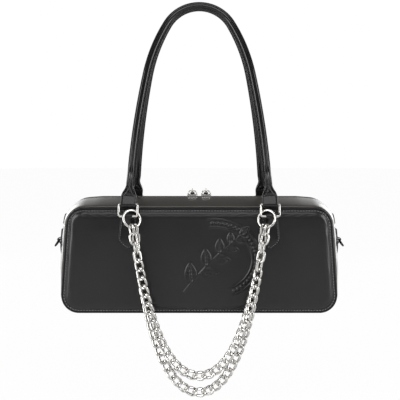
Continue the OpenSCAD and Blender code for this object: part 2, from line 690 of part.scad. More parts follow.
// Inside.
module stiffener() {
    y = face_y - panel_t;
    slab(lining_in + 2*lining_t, -y, -y + stiff_t);
}
lining_y = face_y - panel_t - stiff_t - lining_t/2;
module lining() {
    difference() {
        slab(lining_in, -lining_y, lining_y);
        slab(lining_in + lining_t, -lining_y + lining_t, lining_y - lining_t);
        translate([-base_w, -body_d, body_h - lining_drop]) cube([2*base_w, 2*body_d, body_h]);
    }
}
board_lift_share = 0.1;
module base_board() {
    y = lining_y - lining_t;
    translate([-base_cx, -y, leather_t + board_t*board_lift_share]) cube([2*base_cx, 2*y, board_t]);
}
module slip_pocket() {
    y = lining_y - lining_t;
    z0 = lining_in + 6*lining_t;
    difference() {
        translate([-pocket_w/2, y - pocket_gap - lining_t, z0])
            cube([pocket_w, pocket_gap + lining_t, pocket_h]);
        translate([-pocket_w/2 + lining_t, y - pocket_gap, z0 + lining_t])
            cube([pocket_w - 2*lining_t, 2*pocket_gap, pocket_h]);
    }
}

module from_grip() {
    translate([0, 0, -grip_z]) children();
}
leather = [0.15, 0.15, 0.15];
strip = [0.26, 0.25, 0.22];
silver = [0.78, 0.78, 0.8];
black = [0.06, 0.06, 0.06];
cloth = [0.45, 0.4, 0.36];

module front_panel() { color(leather) from_grip() panel(); }
module back_panel() { color(leather) from_grip() back() panel(); }
module front_piping() { color(black) from_grip() piping(); }
module back_piping() { color(black) from_grip() back() piping(); }
module gusset() { color(strip) from_grip() lower_gusset(); }
module front_corner_strips() { color(strip) from_grip() corner_strips(); }
module back_corner_strips() { color(strip) from_grip() back() corner_strips(); }
module front_zip_strip() { color(strip) from_grip() zip_strip(); }
module back_zip_strip() { color(strip) from_grip() back() zip_strip(); }
module front_zip_tape() { color(black) from_grip() zip_tape(); }
module back_zip_tape() { color(black) from_grip() back() zip_tape(); }
module front_teeth() { color(black) from_grip() teeth_row(false); }
module back_teeth() { color(black) from_grip() teeth_row(true); }
module tapes_at_ends() { color(black) from_grip() end_tapes(); }
module teeth_at_ends() { color(black) from_grip() end_teeth(); }
module leather_zip_ends() { color(leather) from_grip() zip_ends(); }
module left_slider() { color(silver) from_grip() translate([-slider_x, 0, 0]) slider(); }
module right_slider() { color(silver) from_grip() translate([slider_x, 0, 0]) slider(); }
module left_puller() { color(silver) from_grip() translate([-slider_x, 0, 0]) puller(); }
module right_puller() { color(silver) from_grip() translate([slider_x, 0, 0]) puller(); }
module front_handle_cover() {
    color(leather) from_grip() leaned() handle_path(handle_r, core_r + core_gap);
}
module front_handle_core() { color(cloth) from_grip() leaned() handle_path(core_r, 0); }
module front_handle_flares() { color(leather) from_grip() leaned() flares(); }
module front_handle_loops() { color(leather) from_grip() leaned() loops(); }
module back_handle_cover() {
    color(leather) from_grip() back() leaned() handle_path(handle_r, core_r + core_gap);
}
module back_handle_core() { color(cloth) from_grip() back() leaned() handle_path(core_r, 0); }
module back_handle_flares() { color(leather) from_grip() back() leaned() flares(); }
module back_handle_loops() { color(leather) from_grip() back() leaned() loops(); }
module front_left_ring() { color(silver) from_grip() bar_ring(-1); }
module front_right_ring() { color(silver) from_grip() bar_ring(1); }
module back_left_ring() { color(silver) from_grip() back() bar_ring(-1); }
module back_right_ring() { color(silver) from_grip() back() bar_ring(1); }
module front_left_tab() { color(leather) from_grip() tab(-1); }
module front_right_tab() { color(leather) from_grip() tab(1); }
module back_left_tab() { color(leather) from_grip() back() tab(-1); }
module back_right_tab() { color(leather) from_grip() back() tab(1); }
module left_round_ring() { color(silver) from_grip() round_ring(); }
module right_round_ring() { color(silver) from_grip() mirror([1, 0, 0]) round_ring(); }
module short_chain() { color(silver) from_grip() strand(short_links, short_hook, short_y, short_rolls); }
module long_chain() { color(silver) from_grip() strand(long_links, long_hook, long_y, long_rolls); }
module left_side_tab() { color(leather) from_grip() mirror([1, 0, 0]) side_tab(); }
module right_side_tab() { color(leather) from_grip() side_tab(); }
module left_side_ring() { color(black) from_grip() mirror([1, 0, 0]) side_ring(); }
module right_side_ring() { color(black) from_grip() side_ring(); }
module front_stiffener() { color(cloth) from_grip() stiffener(); }
module back_stiffener() { color(cloth) from_grip() back() stiffener(); }
module board() { color(cloth) from_grip() base_board(); }
module inner_lining() { color(cloth) from_grip() lining(); }
module pocket() { color(cloth) from_grip() slip_pocket(); }

front_panel();
back_panel();
front_piping();
back_piping();
gusset();  // lower_gusset
front_corner_strips();
back_corner_strips();
front_zip_strip();
back_zip_strip();
front_zip_tape();
back_zip_tape();
front_teeth();
back_teeth();
tapes_at_ends();  // end_tapes
teeth_at_ends();  // end_teeth
leather_zip_ends();  // zip_ends
left_slider();
right_slider();
left_puller();
right_puller();
front_handle_cover();
front_handle_core();
front_handle_flares();
front_handle_loops();
back_handle_cover();
back_handle_core();
back_handle_flares();
back_handle_loops();
front_left_ring();
front_right_ring();
back_left_ring();
back_right_ring();
front_left_tab();
front_right_tab();
back_left_tab();
back_right_tab();
left_round_ring();
right_round_ring();
short_chain();
long_chain();
left_side_tab();
right_side_tab();
left_side_ring();
right_side_ring();
front_stiffener();
back_stiffener();
board();  // base_board
inner_lining();  // lining
pocket();  // slip_pocket
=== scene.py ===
# %% [markdown]
# # A handbag with rolled handles and a draped chain
# The bag hangs by its two handles. Its black calf leather, its zip and its silver fittings are
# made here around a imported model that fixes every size. Each new surface is a numpy grid: a
# function of two parameters, or a profile carried along a path. All lengths below are bag
# millimetres: x to the right, y from front to back, z up from the base. One helper moves them
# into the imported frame, whose origin is the grip.

# %% Load the frame
import bmesh
import bpy
import numpy as np
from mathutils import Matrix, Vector


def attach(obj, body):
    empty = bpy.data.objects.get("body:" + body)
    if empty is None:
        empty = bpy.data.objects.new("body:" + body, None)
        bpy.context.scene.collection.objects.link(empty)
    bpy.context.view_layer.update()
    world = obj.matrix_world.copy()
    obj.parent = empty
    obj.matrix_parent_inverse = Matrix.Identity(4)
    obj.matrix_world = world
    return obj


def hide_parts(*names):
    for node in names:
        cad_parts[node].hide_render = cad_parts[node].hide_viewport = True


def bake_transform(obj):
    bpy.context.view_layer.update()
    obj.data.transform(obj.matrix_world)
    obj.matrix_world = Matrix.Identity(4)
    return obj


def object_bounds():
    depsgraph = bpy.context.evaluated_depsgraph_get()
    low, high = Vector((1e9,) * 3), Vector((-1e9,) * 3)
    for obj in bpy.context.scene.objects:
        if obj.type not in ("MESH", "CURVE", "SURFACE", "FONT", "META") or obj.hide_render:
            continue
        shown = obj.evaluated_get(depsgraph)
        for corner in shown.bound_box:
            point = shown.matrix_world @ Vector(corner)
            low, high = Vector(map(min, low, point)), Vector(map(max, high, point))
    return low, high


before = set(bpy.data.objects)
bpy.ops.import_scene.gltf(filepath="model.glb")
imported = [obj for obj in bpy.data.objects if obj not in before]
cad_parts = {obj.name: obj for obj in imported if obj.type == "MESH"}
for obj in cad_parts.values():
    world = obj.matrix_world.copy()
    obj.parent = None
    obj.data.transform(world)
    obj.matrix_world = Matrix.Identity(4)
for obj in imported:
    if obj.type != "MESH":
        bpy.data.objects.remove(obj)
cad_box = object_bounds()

print("nodes in the frame:", len(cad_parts))

# %% [markdown]
# ## Sizes
# These are the sizes of the imported solids, so every visual piece lies where its solid lies. The
# body is a trapezium with rounded corners. Its outline is measured by arc length s from the middle
# of the top edge: along the top, round a corner, down the side, round a foot and along the base.

# %% Sizes of the body
BASE_W, TOP_W, BODY_H, CORNER, HALF_D = 331.0, 318.0, 127.0, 21.0, 47.5
# thickness of the gusset and of a panel, rise of a panel's field, radius of the piping's solid,
# and crown of the top
LEATHER, PANEL_T, PUFF, PIPE, CROWN = 1.8, 2.4, 2.4, 1.8, 9.5
# how far the panel's turned edge lies inside the outline, and the radius of the seen piping
EDGE_IN, PIPE_R = 2.3, 1.3
TOP_CX, BASE_CX = TOP_W/2 - CORNER, BASE_W/2 - CORNER
SIDE_A = np.arctan2(BASE_CX - TOP_CX, BODY_H - 2*CORNER)
CORNER_L = CORNER*(np.pi/2 - SIDE_A)
SIDE_L = np.hypot(BASE_CX - TOP_CX, BODY_H - 2*CORNER)
FOOT_L = CORNER*(np.pi/2 + SIDE_A)
SIDE_S = TOP_CX + CORNER_L
FOOT_S = SIDE_S + SIDE_L
BASE_S = FOOT_S + FOOT_L
HALF_S = BASE_S + BASE_CX
ZIP_S = SIDE_S + 3.0
FACE_Y = HALF_D - 0.33*PIPE
TAB_Y = FACE_Y + PUFF
RIDGE_Z = BODY_H + CROWN
print("half outline %.2f mm, zip down to s = %.2f mm" % (HALF_S, ZIP_S))

# %% Sizes of the fittings
# strap rings: height of the lower bar, height and half width, radius of the wire and the corners
RING_Z, RING_H, RING_HALF, RING_R, RING_CORNER = 117.6, 14.4, 11.1, 1.4, 2.3
# the rings lean inwards, from their lower bar at LOW_Y to their upper bar at HIGH_Y and HIGH_Z
LOW_Y, TILT = HALF_D + 7.1, np.radians(7)
HIGH_Y, HIGH_Z = LOW_Y - RING_H*np.sin(TILT), RING_Z + RING_H*np.cos(TILT)
# handles: rise above the upper bars, half of the span and radius of the tube
RISE, HANDLE_HALF, HANDLE_R = 240.0, 84.0, 4.5
GRIP = HIGH_Z + RISE
# underside of a slider, and the top of the hole under its bridge, where the puller's eye hangs
SLIDER_Z = RIDGE_Z + 0.8 + 0.35
ARCH_Z = SLIDER_Z + 1.4 + 5.4 - 0.75
print("grip height %.2f mm above the base" % GRIP)


# %% [markdown]
# ## Making meshes from arrays
# A part is a set of points, its faces and its UVs. Faces come from one rule for grids: each
# point joins its neighbours in the next row and column. Several parts can make one object, and
# each keeps its own finish. Normals are worked out again once doubles are merged, so that no
# mirrored part stays inside out.

# %% Grids, sheets and copies
def grid_faces(rows, cols, round_rows=False, round_cols=False):
    """Corners i, i+1 by j, j+1 of each cell; a round direction also joins the last to the first."""
    i = np.arange(rows if round_rows else rows - 1)[:, None]
    j = np.arange(cols if round_cols else cols - 1)[None, :]
    i2, j2 = (i + 1) % rows, (j + 1) % cols
    return np.stack([i*cols + j, i2*cols + j, i2*cols + j2, i*cols + j2], -1).reshape(-1, 4)


def part(grid, uv=None, round_rows=False, round_cols=False, caps=False):
    """One grid of points (rows, cols, 3) as a part in a piece's first finish; caps close its ends."""
    grid = np.asarray(grid, float)
    rows, cols = grid.shape[:2]
    faces = grid_faces(rows, cols, round_rows, round_cols).tolist()
    if caps:
        faces += [list(range(cols - 1, -1, -1)), [(rows - 1)*cols + k for k in range(cols)]]
    if uv is None:
        uv = np.stack(np.meshgrid(np.arange(rows), np.arange(cols), indexing="ij"), -1)*0.001
    return grid.reshape(-1, 3), faces, np.asarray(uv, float).reshape(-1, 2), 0


def closed_sheet(outer, inner, uv):
    """A sheet with thickness: every row runs along the outer side and back along the inner one."""
    rows, cols = outer.shape[:2]
    loop = np.concatenate([outer, inner[:, ::-1]], 1)
    points, faces, flat, finish = part(loop, np.concatenate([uv, uv[:, ::-1]], 1), round_cols=True)
    for row in (0, rows - 1):
        base = row*2*cols
        faces += [[base + j, base + j + 1, base + 2*cols - 2 - j, base + 2*cols - 1 - j]
                  for j in range(cols - 1)]
    return points, faces, flat, finish


def copies(template, faces, origin, ax, ay, az, finish=0):
    """Every copy's point is origin + x*ax + y*ay + z*az, for all copies in one array."""
    template = np.asarray(template, float)
    n, m = len(origin), len(template)
    points = (origin[:, None] + template[None, :, :1]*ax[:, None] + template[None, :, 1:2]*ay[:, None]
              + template[None, :, 2:]*az[:, None])
    all_faces = [[k*m + v for v in f] for k in range(n) for f in faces]
    uv = np.tile(template[:, :2]*0.001, (n, 1))
    return points.reshape(-1, 3), all_faces, uv, finish


print("a grid of 3 by 4 points has", len(grid_faces(3, 4)), "faces, rolled up", len(grid_faces(3, 4, True)))


# %% Directions, paths and profiles
def unit(v):
    """Each vector divided by its length."""
    v = np.asarray(v, float)
    return v/np.maximum(np.linalg.norm(v, axis=-1, keepdims=True), 1e-12)


def carried(path, side, up, a, b, closed=False):
    """A profile on a path: point j at station i is path[i] + a[i,j]*side[i] + b[i,j]*up[i]."""
    path = np.asarray(path, float)
    grid = path[:, None] + a[..., None]*side[:, None] + b[..., None]*up[:, None]
    return part(grid, round_rows=closed, round_cols=True, caps=not closed)


def along(path, closed=False):
    """Directions of a path, from each point's two neighbours."""
    if closed:
        return unit(np.roll(path, -1, 0) - np.roll(path, 1, 0))
    return unit(np.gradient(path, axis=0))


def resample(path, step, closed=False):
    """Points at even steps of arc length on a broken line, with four steps at least."""
    path = np.asarray(path, float)
    if closed:
        path = np.concatenate([path, path[:1]])
    s = np.r_[0, np.cumsum(np.linalg.norm(np.diff(path, axis=0), axis=1))]
    n = max(int(round(s[-1]/step)), 4)
    t = np.linspace(0, s[-1], n + 1)[:-1] if closed else np.linspace(0, s[-1], n + 1)
    return np.stack([np.interp(t, s, path[:, k]) for k in range(3)], 1)


def circle(n, r, stations=1):
    """Profile of a round wire: a = r cos q, b = r sin q, the same at every station."""
    q = np.linspace(0, 2*np.pi, n, endpoint=False)
    return np.tile(r*np.cos(q), (stations, 1)), np.tile(r*np.sin(q), (stations, 1))


print("a line of 10 mm at steps near 1 mm has", len(resample([[0, 0, 0], [10, 0, 0]], 1.0)), "points")


# %% One object from several parts
def piece(name, parts, finishes, body, stands_for=(), sharp=None, blend=None):
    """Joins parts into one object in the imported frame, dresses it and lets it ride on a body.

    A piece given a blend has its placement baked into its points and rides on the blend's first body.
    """
    points, faces, uvs, kinds, start = [], [], [], [], 0
    for p, f, uv, kind in parts:
        points.append(p)
        uvs.append(uv)
        faces += [[v + start for v in face] for face in f]
        kinds += [kind]*len(f)
        start += len(p)
    co = (np.concatenate(points) - [0, 0, GRIP])*0.001
    mesh = bpy.data.meshes.new(name)
    mesh.from_pydata(co.tolist(), [], faces)
    mesh.polygons.foreach_set("material_index", kinds)
    mesh.polygons.foreach_set("use_smooth", [True]*len(faces))
    corner = np.zeros(len(mesh.loops), np.int32)
    mesh.loops.foreach_get("vertex_index", corner)
    layer = mesh.uv_layers.new(name="UVMap")
    layer.data.foreach_set("uv", np.concatenate(uvs)[corner].ravel())
    bm = bmesh.new()
    bm.from_mesh(mesh)
    bmesh.ops.remove_doubles(bm, verts=bm.verts, dist=2e-7)
    bmesh.ops.recalc_face_normals(bm, faces=bm.faces)
    bm.to_mesh(mesh)
    bm.free()
    if sharp:
        mesh.set_sharp_from_angle(angle=np.radians(sharp))
    obj = bpy.data.objects.new(name, mesh)
    bpy.context.scene.collection.objects.link(obj)
    for m in finishes:
        mesh.materials.append(m[0])
    if blend:
        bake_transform(obj)
    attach(obj, blend[0] if blend else body)
    if stands_for:
        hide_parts(*stands_for)
    print("%-24s %6d faces" % (name, len(mesh.polygons)))
    return obj


# %% [markdown]
# ## Finishes
# Leather, metal and cloth differ in how their small relief catches the light, so each finish
# starts from one principled shader and gets its own relief. One function adds a node. Patterns
# read Object coordinates, in metres, so a scale of 1000 divided by a size in millimetres gives
# that size.

# %% Shader helpers
def srgb(code):
    """A hex colour such as #2b2b2b in linear light: ((c + 0.055)/1.055) to the power 2.4."""
    c = np.array([int(code[i:i + 2], 16) for i in (1, 3, 5)])/255
    return tuple(np.where(c <= 0.04045, c/12.92, ((c + 0.055)/1.055)**2.4)) + (1.0,)


def add(tree, kind, values=None, links=None):
    """Adds a node, sets its settings or sockets, and links (node, output) pairs into it."""
    n = tree.nodes.new(kind)
    for key, v in (values or {}).items():
        if isinstance(key, str) and not key[0].isupper():
            setattr(n, key, v)
        else:
            n.inputs[key].default_value = v
    for key, (source, out) in (links or {}).items():
        tree.links.new(source.outputs[out], n.inputs[key])
    return n


def start_finish(name, colour, rough, metal=0.0, ior=1.5):
    """A new material with one principled shader and Object coordinates to draw patterns on."""
    m = bpy.data.materials.new(name)
    m.use_nodes = True
    tree = m.node_tree
    shader = tree.nodes["Principled BSDF"]
    shader.inputs["Base Color"].default_value = srgb(colour)
    shader.inputs["Roughness"].default_value = rough
    shader.inputs["Metallic"].default_value = metal
    shader.inputs["IOR"].default_value = ior
    return m, tree, shader, add(tree, "ShaderNodeTexCoord")


def relief(tree, shader, heights):
    """Chains bump nodes: each entry is (height output, strength, depth in millimetres)."""
    last = None
    for (source, out), strength, depth in heights:
        links = {"Height": (source, out)}
        if last:
            links["Normal"] = (last, "Normal")
        last = add(tree, "ShaderNodeBump", {"Strength": strength, "Distance": depth*0.001}, links)
    tree.links.new(last.outputs["Normal"], shader.inputs["Normal"])


# %% [markdown]
# ### Calf leather
# Box calf is dyed, pressed smooth and given a thin satin top coat. Its grain is a net of fine
# creases between flat cells about 0.9 mm wide, too fine to show as shapes, so it is drawn as
# relief from the distance to a cell's edge. A slow noise varies the polish as hands and light
# find it. On a vector or colour Mix node the sockets go by number, since their names repeat.

# %% Calf leather
def calf(name, slot, colour, light, rough, grain=0.9, coat=0.1, film=0.2, gloss=0.5, feel=0.12):
    """Cell creases, pore noise, slow changes of colour and polish, under a clear film of finish."""
    m, tree, shader, place = start_finish(name, colour, rough, ior=1.45)
    at = (place, "Object")
    wander = add(tree, "ShaderNodeTexNoise", {"Scale": 260.0, "Detail": 3.0}, {"Vector": at})
    moved = add(tree, "ShaderNodeMix", {"data_type": "VECTOR", "Factor": 0.0012})
    tree.links.new(wander.outputs["Color"], moved.inputs[5])
    tree.links.new(place.outputs["Object"], moved.inputs[4])
    cells = add(tree, "ShaderNodeTexVoronoi", {"feature": "DISTANCE_TO_EDGE", "Scale": 1000/grain})
    tree.links.new(moved.outputs[1], cells.inputs["Vector"])
    creases = add(tree, "ShaderNodeMapRange", {"From Max": 0.16}, {"Value": (cells, "Distance")})
    pores = add(tree, "ShaderNodeTexNoise", {"Scale": 2600.0, "Detail": 2.0}, {"Vector": at})
    slow = add(tree, "ShaderNodeTexNoise", {"Scale": 22.0, "Detail": 4.0}, {"Vector": at})
    polish = add(tree, "ShaderNodeMapRange", {"To Min": rough - 0.05, "To Max": rough + 0.07},
                 {"Value": (slow, "Fac")})
    tint = add(tree, "ShaderNodeMix", {"data_type": "RGBA"}, {"Factor": (slow, "Fac")})
    tint.inputs[6].default_value, tint.inputs[7].default_value = srgb(colour), srgb(light)
    tree.links.new(tint.outputs[2], shader.inputs["Base Color"])
    tree.links.new(polish.outputs["Result"], shader.inputs["Roughness"])
    shader.inputs["Specular IOR Level"].default_value = gloss
    shader.inputs["Coat Weight"].default_value = coat
    shader.inputs["Coat Roughness"].default_value = film
    relief(tree, shader, [((slow, "Fac"), 0.1, 0.5), ((creases, "Result"), feel, 0.06),
                          ((pores, "Fac"), feel/2, 0.03)])
    return m, slot


body_calf = calf("black satin calf leather", "black_leather", "#131314", "#181819", 0.38,
                 coat=0.35, film=0.17, gloss=0.3, feel=0.16)
# painted sheen: the black calf of the zip strips and gusset gets a lighter, warm brown colour for the sheen
# of raking light
painted_sheen_calf = calf("black calf leather with painted raking-light sheen", "strip_leather", "#2b2823", "#332f29", 0.34,
                coat=0.8, film=0.13, gloss=0.45, feel=0.1)
trim_calf = calf("glazed black strap leather", "black_leather", "#0b0b0c", "#101011", 0.3, 0.7,
                 coat=0.6, film=0.08, gloss=0.15, feel=0.05)
cord_calf = calf("thin black piping leather", "piping_leather", "#0e0e0f", "#141415", 0.44, 0.6,
                 coat=0.0, gloss=0.3)
print("leathers:", ", ".join(m[0].name for m in (body_calf, painted_sheen_calf, trim_calf, cord_calf)))


# %% [markdown]
# ### Thread
# Sewing thread is twisted from plies, which shows as slanting bands. A diagonal wave gives them
# as relief. The black bonded nylon of the panels shines in the lamps, and its light grey colour
# is painted sheen on black thread. The waxed linen of the handles stays dull.

# %% Threads
def twisted(name, slot, colour, rough):
    """Slanting bands of one wave as relief, for the plies of a thread."""
    m, tree, shader, place = start_finish(name, colour, rough)
    plies = add(tree, "ShaderNodeTexWave", {"Scale": 1400.0, "bands_direction": "DIAGONAL"},
                {"Vector": (place, "Object")})
    relief(tree, shader, [((plies, "Fac"), 0.3, 0.05)])
    return m, slot


# painted sheen: the black nylon thread is coloured light grey for its shine
thread = twisted("black bonded nylon thread with painted sheen", "black_leather", "#747478", 0.4)
dull_thread = twisted("waxed black linen thread", "black_leather", "#1b1b1c", 0.55)
print("threads:", thread[0].name, "and", dull_thread[0].name)


# %% [markdown]
# ### Polished plating
# The rings and the chain are cast zinc and steel with polished nickel plating. Polishing leaves
# a mirror with the faintest waviness. Its tone comes mostly from what it reflects, so its own
# colour is a pale grey and its roughness is low. The small side rings are plated dark, as
# gunmetal.

# %% Metals
def plating(name, slot, colour, rough):
    """A mirror metal with slight hand-polished waviness and fine handling scratches."""
    m, tree, shader, place = start_finish(name, colour, rough, metal=1.0)
    at = (place, "Object")
    wavy = add(tree, "ShaderNodeTexNoise", {"Scale": 420.0, "Detail": 2.0}, {"Vector": at})
    hair = add(tree, "ShaderNodeTexNoise", {"Scale": 3800.0, "Detail": 1.0}, {"Vector": at})
    worn = add(tree, "ShaderNodeMapRange", {"To Min": rough*0.7, "To Max": rough*1.5},
               {"Value": (wavy, "Fac")})
    tree.links.new(worn.outputs["Result"], shader.inputs["Roughness"])
    relief(tree, shader, [((wavy, "Fac"), 0.015, 0.1), ((hair, "Fac"), 0.01, 0.02)])
    return m, slot


nickel = plating("polished nickel plating", "silver", "#d0cecb", 0.1)
gunmetal = plating("gunmetal plating", "dark_metal", "#2e2e30", 0.2)
print("metals:", nickel[0].name, "and", gunmetal[0].name)


# %% [markdown]
# ### Cloth, cord, board and teeth
# The zip tape is herringbone polyester, the lining a plain cotton twill, and the teeth are
# moulded acetal. Threads are 0.5 mm apart on the tape and 0.4 mm on the lining. That is finer
# than the picture shows, so the waves are drawn at that size and left to soften with distance.

# %% Cloth and the rest
def woven(name, slot, colour, light, threads, rough):
    """Two crossed waves on the UV map, one for each direction of thread, over a soft fuzz."""
    m, tree, shader, place = start_finish(name, colour, rough)
    shader.inputs["Sheen Weight"].default_value = 0.25
    slanting = add(tree, "ShaderNodeTexWave", {"Scale": 314.0/threads, "bands_direction": "DIAGONAL",
                   "Distortion": 0.6}, {"Vector": (place, "UV")})
    along_y = add(tree, "ShaderNodeTexWave", {"Scale": 157.0/threads, "bands_direction": "Y",
                  "Distortion": 0.4}, {"Vector": (place, "UV")})
    both = add(tree, "ShaderNodeMath", {"operation": "MULTIPLY"},
               {0: (slanting, "Fac"), 1: (along_y, "Fac")})
    fuzz = add(tree, "ShaderNodeTexNoise", {"Scale": 900.0}, {"Vector": (place, "Object")})
    tint = add(tree, "ShaderNodeMix", {"data_type": "RGBA"}, {"Factor": (both, 0)})
    tint.inputs[6].default_value, tint.inputs[7].default_value = srgb(colour), srgb(light)
    tree.links.new(tint.outputs[2], shader.inputs["Base Color"])
    relief(tree, shader, [((both, 0), 0.5, 0.15), ((fuzz, "Fac"), 0.2, 0.1)])
    return m, slot


def moulded(name, slot, colour, rough, grit):
    """Moulded plastic or board: fine texture and a slow change of tone."""
    m, tree, shader, place = start_finish(name, colour, rough)
    fine = add(tree, "ShaderNodeTexNoise", {"Scale": 1000/grit, "Detail": 3.0},
               {"Vector": (place, "Object")})
    dull = add(tree, "ShaderNodeMapRange", {"To Min": rough - 0.08, "To Max": rough + 0.1},
               {"Value": (fine, "Fac")})
    tree.links.new(dull.outputs["Result"], shader.inputs["Roughness"])
    relief(tree, shader, [((fine, "Fac"), 0.2, 0.08)])
    return m, slot


tape_weave = woven("black herringbone zip tape", "zip_tape", "#101010", "#1c1c1c", 0.5, 0.8)
lining_twill = woven("taupe cotton twill", "lining", "#6e655b", "#887d71", 0.4, 0.85)
core_cotton = woven("braided cotton core", "core", "#a29a8a", "#b8b1a2", 0.8, 0.9)
acetal = moulded("black acetal teeth", "zip_teeth", "#1a1918", 0.35, 0.5)
card = moulded("grey bag board", "board", "#3a3a3a", 0.8, 0.4)
print("cloths: %s, %s, %s" % (tape_weave[0].name, lining_twill[0].name, core_cotton[0].name))


# %% [markdown]
# ## The outline of the body
# The gusset and the zip strips are one band that follows the outline. It bulges between the two
# panels: its lift is a share of the crown, and falls to nothing at the panels as one minus the
# square of y over half the depth. A table gives the share at each arc length.

# %% Outline and skin
def smooth_table(xs, ys, width):
    """A broken line rounded by a bell-shaped average of that width."""
    t = np.linspace(xs[0], xs[-1], 1200)
    raw = np.interp(t, xs, ys)
    step = t[1] - t[0]
    k = np.arange(-int(3*width/step), int(3*width/step) + 1)*step
    bell = np.exp(-0.5*(k/width)**2)
    pad = np.r_[np.full(len(k)//2, raw[0]), raw, np.full(len(k)//2, raw[-1])]
    return t, np.convolve(pad, bell/bell.sum(), "valid")


# whole along the top, less over the rounded corner, whole again at the zip's ends, none below
share_s = [0, 0.88*TOP_CX, TOP_CX, TOP_CX + 0.5*CORNER_L, SIDE_S, SIDE_S + 0.2*SIDE_L,
           SIDE_S + 0.65*SIDE_L, FOOT_S, FOOT_S + 0.5*FOOT_L, BASE_S, HALF_S]
SHARES = smooth_table(share_s, [1, 1, 0.86, 0.66, 0.88, 1, 0.95, 0.5, 0.15, 0, 0], 2.5)


def outline(s):
    """x, z, angle of the outward normal and bulge share at arc length s, negative to the left."""
    s = np.asarray(s, float)
    s = np.where(s > HALF_S, s - 2*HALF_S, s)
    a = np.abs(s)
    u1, u2, u3 = (a - TOP_CX)/CORNER_L, (a - SIDE_S)/SIDE_L, (a - FOOT_S)/FOOT_L
    zone = [a < TOP_CX, a < SIDE_S, a < FOOT_S, a < BASE_S]
    q1 = np.pi/2 - u1*(np.pi/2 - SIDE_A)
    q3 = SIDE_A - u3*(np.pi/2 + SIDE_A)
    x = np.select(zone, [a, TOP_CX + CORNER*np.cos(q1),
                         TOP_CX + CORNER*np.cos(SIDE_A) + u2*(BASE_CX - TOP_CX),
                         BASE_CX + CORNER*np.cos(q3)], HALF_S - a)
    z = np.select(zone, [BODY_H + 0*a, BODY_H - CORNER + CORNER*np.sin(q1),
                         BODY_H - CORNER + CORNER*np.sin(SIDE_A) - u2*(BODY_H - 2*CORNER),
                         CORNER + CORNER*np.sin(q3)], 0.0)
    q = np.select(zone, [np.pi/2 + 0*a, q1, SIDE_A + 0*a, q3], -np.pi/2)
    left = s < 0
    return np.where(left, -x, x), z, np.where(left, np.pi - q, q), np.interp(a, *SHARES)


print("the top corner ends at x = %.1f mm, z = %.1f mm" % tuple(float(v) for v in outline(SIDE_S)[:2]))


# %% Skin and distance to the edge
def skin(s, y, lift=0.0):
    """Point of the bulging band at outline length s and depth y, lifted along the normal."""
    s, y = np.broadcast_arrays(np.asarray(s, float), np.asarray(y, float))
    x, z, q, share = outline(s)
    d = share*CROWN*(1 - (y/HALF_D)**2) + lift
    return np.stack([x + d*np.cos(q), y, z + d*np.sin(q)], -1)


def edge_distance(x, z):
    """Distance inside the outline: the corner radius, plus the way inside or minus the way
    outside the smaller trapezium that joins the middles of the corners."""
    x = np.abs(x)
    corners = np.array([[0, BODY_H - CORNER], [TOP_CX, BODY_H - CORNER], [BASE_CX, CORNER], [0, CORNER]])
    near = np.full(x.shape, 1e9)
    for p, q in zip(corners[:-1], corners[1:]):
        e = q - p
        t = np.clip(((x - p[0])*e[0] + (z - p[1])*e[1])/(e @ e), 0, 1)
        near = np.minimum(near, np.hypot(x - p[0] - t*e[0], z - p[1] - t*e[1]))
    side = TOP_CX + (BODY_H - CORNER - z)*np.tan(SIDE_A)
    inside = (z < BODY_H - CORNER) & (z > CORNER) & (x < side)
    return CORNER + np.where(inside, near, -near)


print("zip runs to s = %.1f mm, piping at y = %.1f mm" % (ZIP_S, HALF_D - PIPE))


# %% [markdown]
# ## Stitches
# A lockstitch shows as short thread strokes that dip into the leather at both ends. One stitch
# is a spindle of four rings with five points each. Every row is made at once from its places
# and directions.

# %% Stitch rows
STITCH_L = 2.6
q = np.linspace(0, 2*np.pi, 5, endpoint=False)
# place along the stitch, radius and height of each ring
stitch_rings = ((-1.3, 0.14, -0.3), (-0.85, 0.36, 0.04), (0.85, 0.36, 0.04), (1.3, 0.14, -0.3))
stitch_points = np.concatenate([np.stack([np.full(5, x), r*np.cos(q), r*np.sin(q) + z], 1)
                                for x, r, z in stitch_rings])
stitch_faces = grid_faces(4, 5, round_cols=True).tolist() + [[4, 3, 2, 1, 0], [15, 16, 17, 18, 19]]


def stitches(path, normals, length=STITCH_L, pitch=3.4, closed=False, finish=1, sink=0.05):
    """Stitches at even pitch on a path, each lying along it and dipping along its normal."""
    path = np.asarray(path, float)
    loop = np.concatenate([path, path[:1]]) if closed else path
    norm = np.concatenate([normals, normals[:1]]) if closed else normals
    s = np.r_[0, np.cumsum(np.linalg.norm(np.diff(loop, axis=0), axis=1))]
    n = max(int(s[-1]/pitch), 1)
    t = (np.arange(n) + 0.5)*s[-1]/n
    pick = lambda v, at: np.stack([np.interp(at, s, v[:, k]) for k in range(3)], 1)
    at, ahead = pick(loop, t), pick(loop, np.minimum(t + 0.5, s[-1]))
    back = pick(loop, np.maximum(t - 0.5, 0))
    ax = unit(ahead - back)
    az = unit(pick(norm, t))
    return copies(stitch_points, stitch_faces, at - sink*az, ax*(length/STITCH_L),
                  unit(np.cross(az, ax)), az, finish=finish)


print("one stitch has", len(stitch_faces), "faces")

# %% [markdown]
# ## The padded panels
# Front and back are leather over thin foam. Outside in, each has a flat turned edge with its
# row of stitches, a narrow channel, and a field that rises in a soft roll to its full height.
# The surface is a grid whose rows end on the outline, and its height is a function of the
# distance to the edge. Slow waves and small puckers beside the sewing keep it from looking
# cut from a block. A leaf sprig inside a beaded arc stands out of the front, right of the
# middle. It is a stock motif of this script's own design, made of distances to curves.

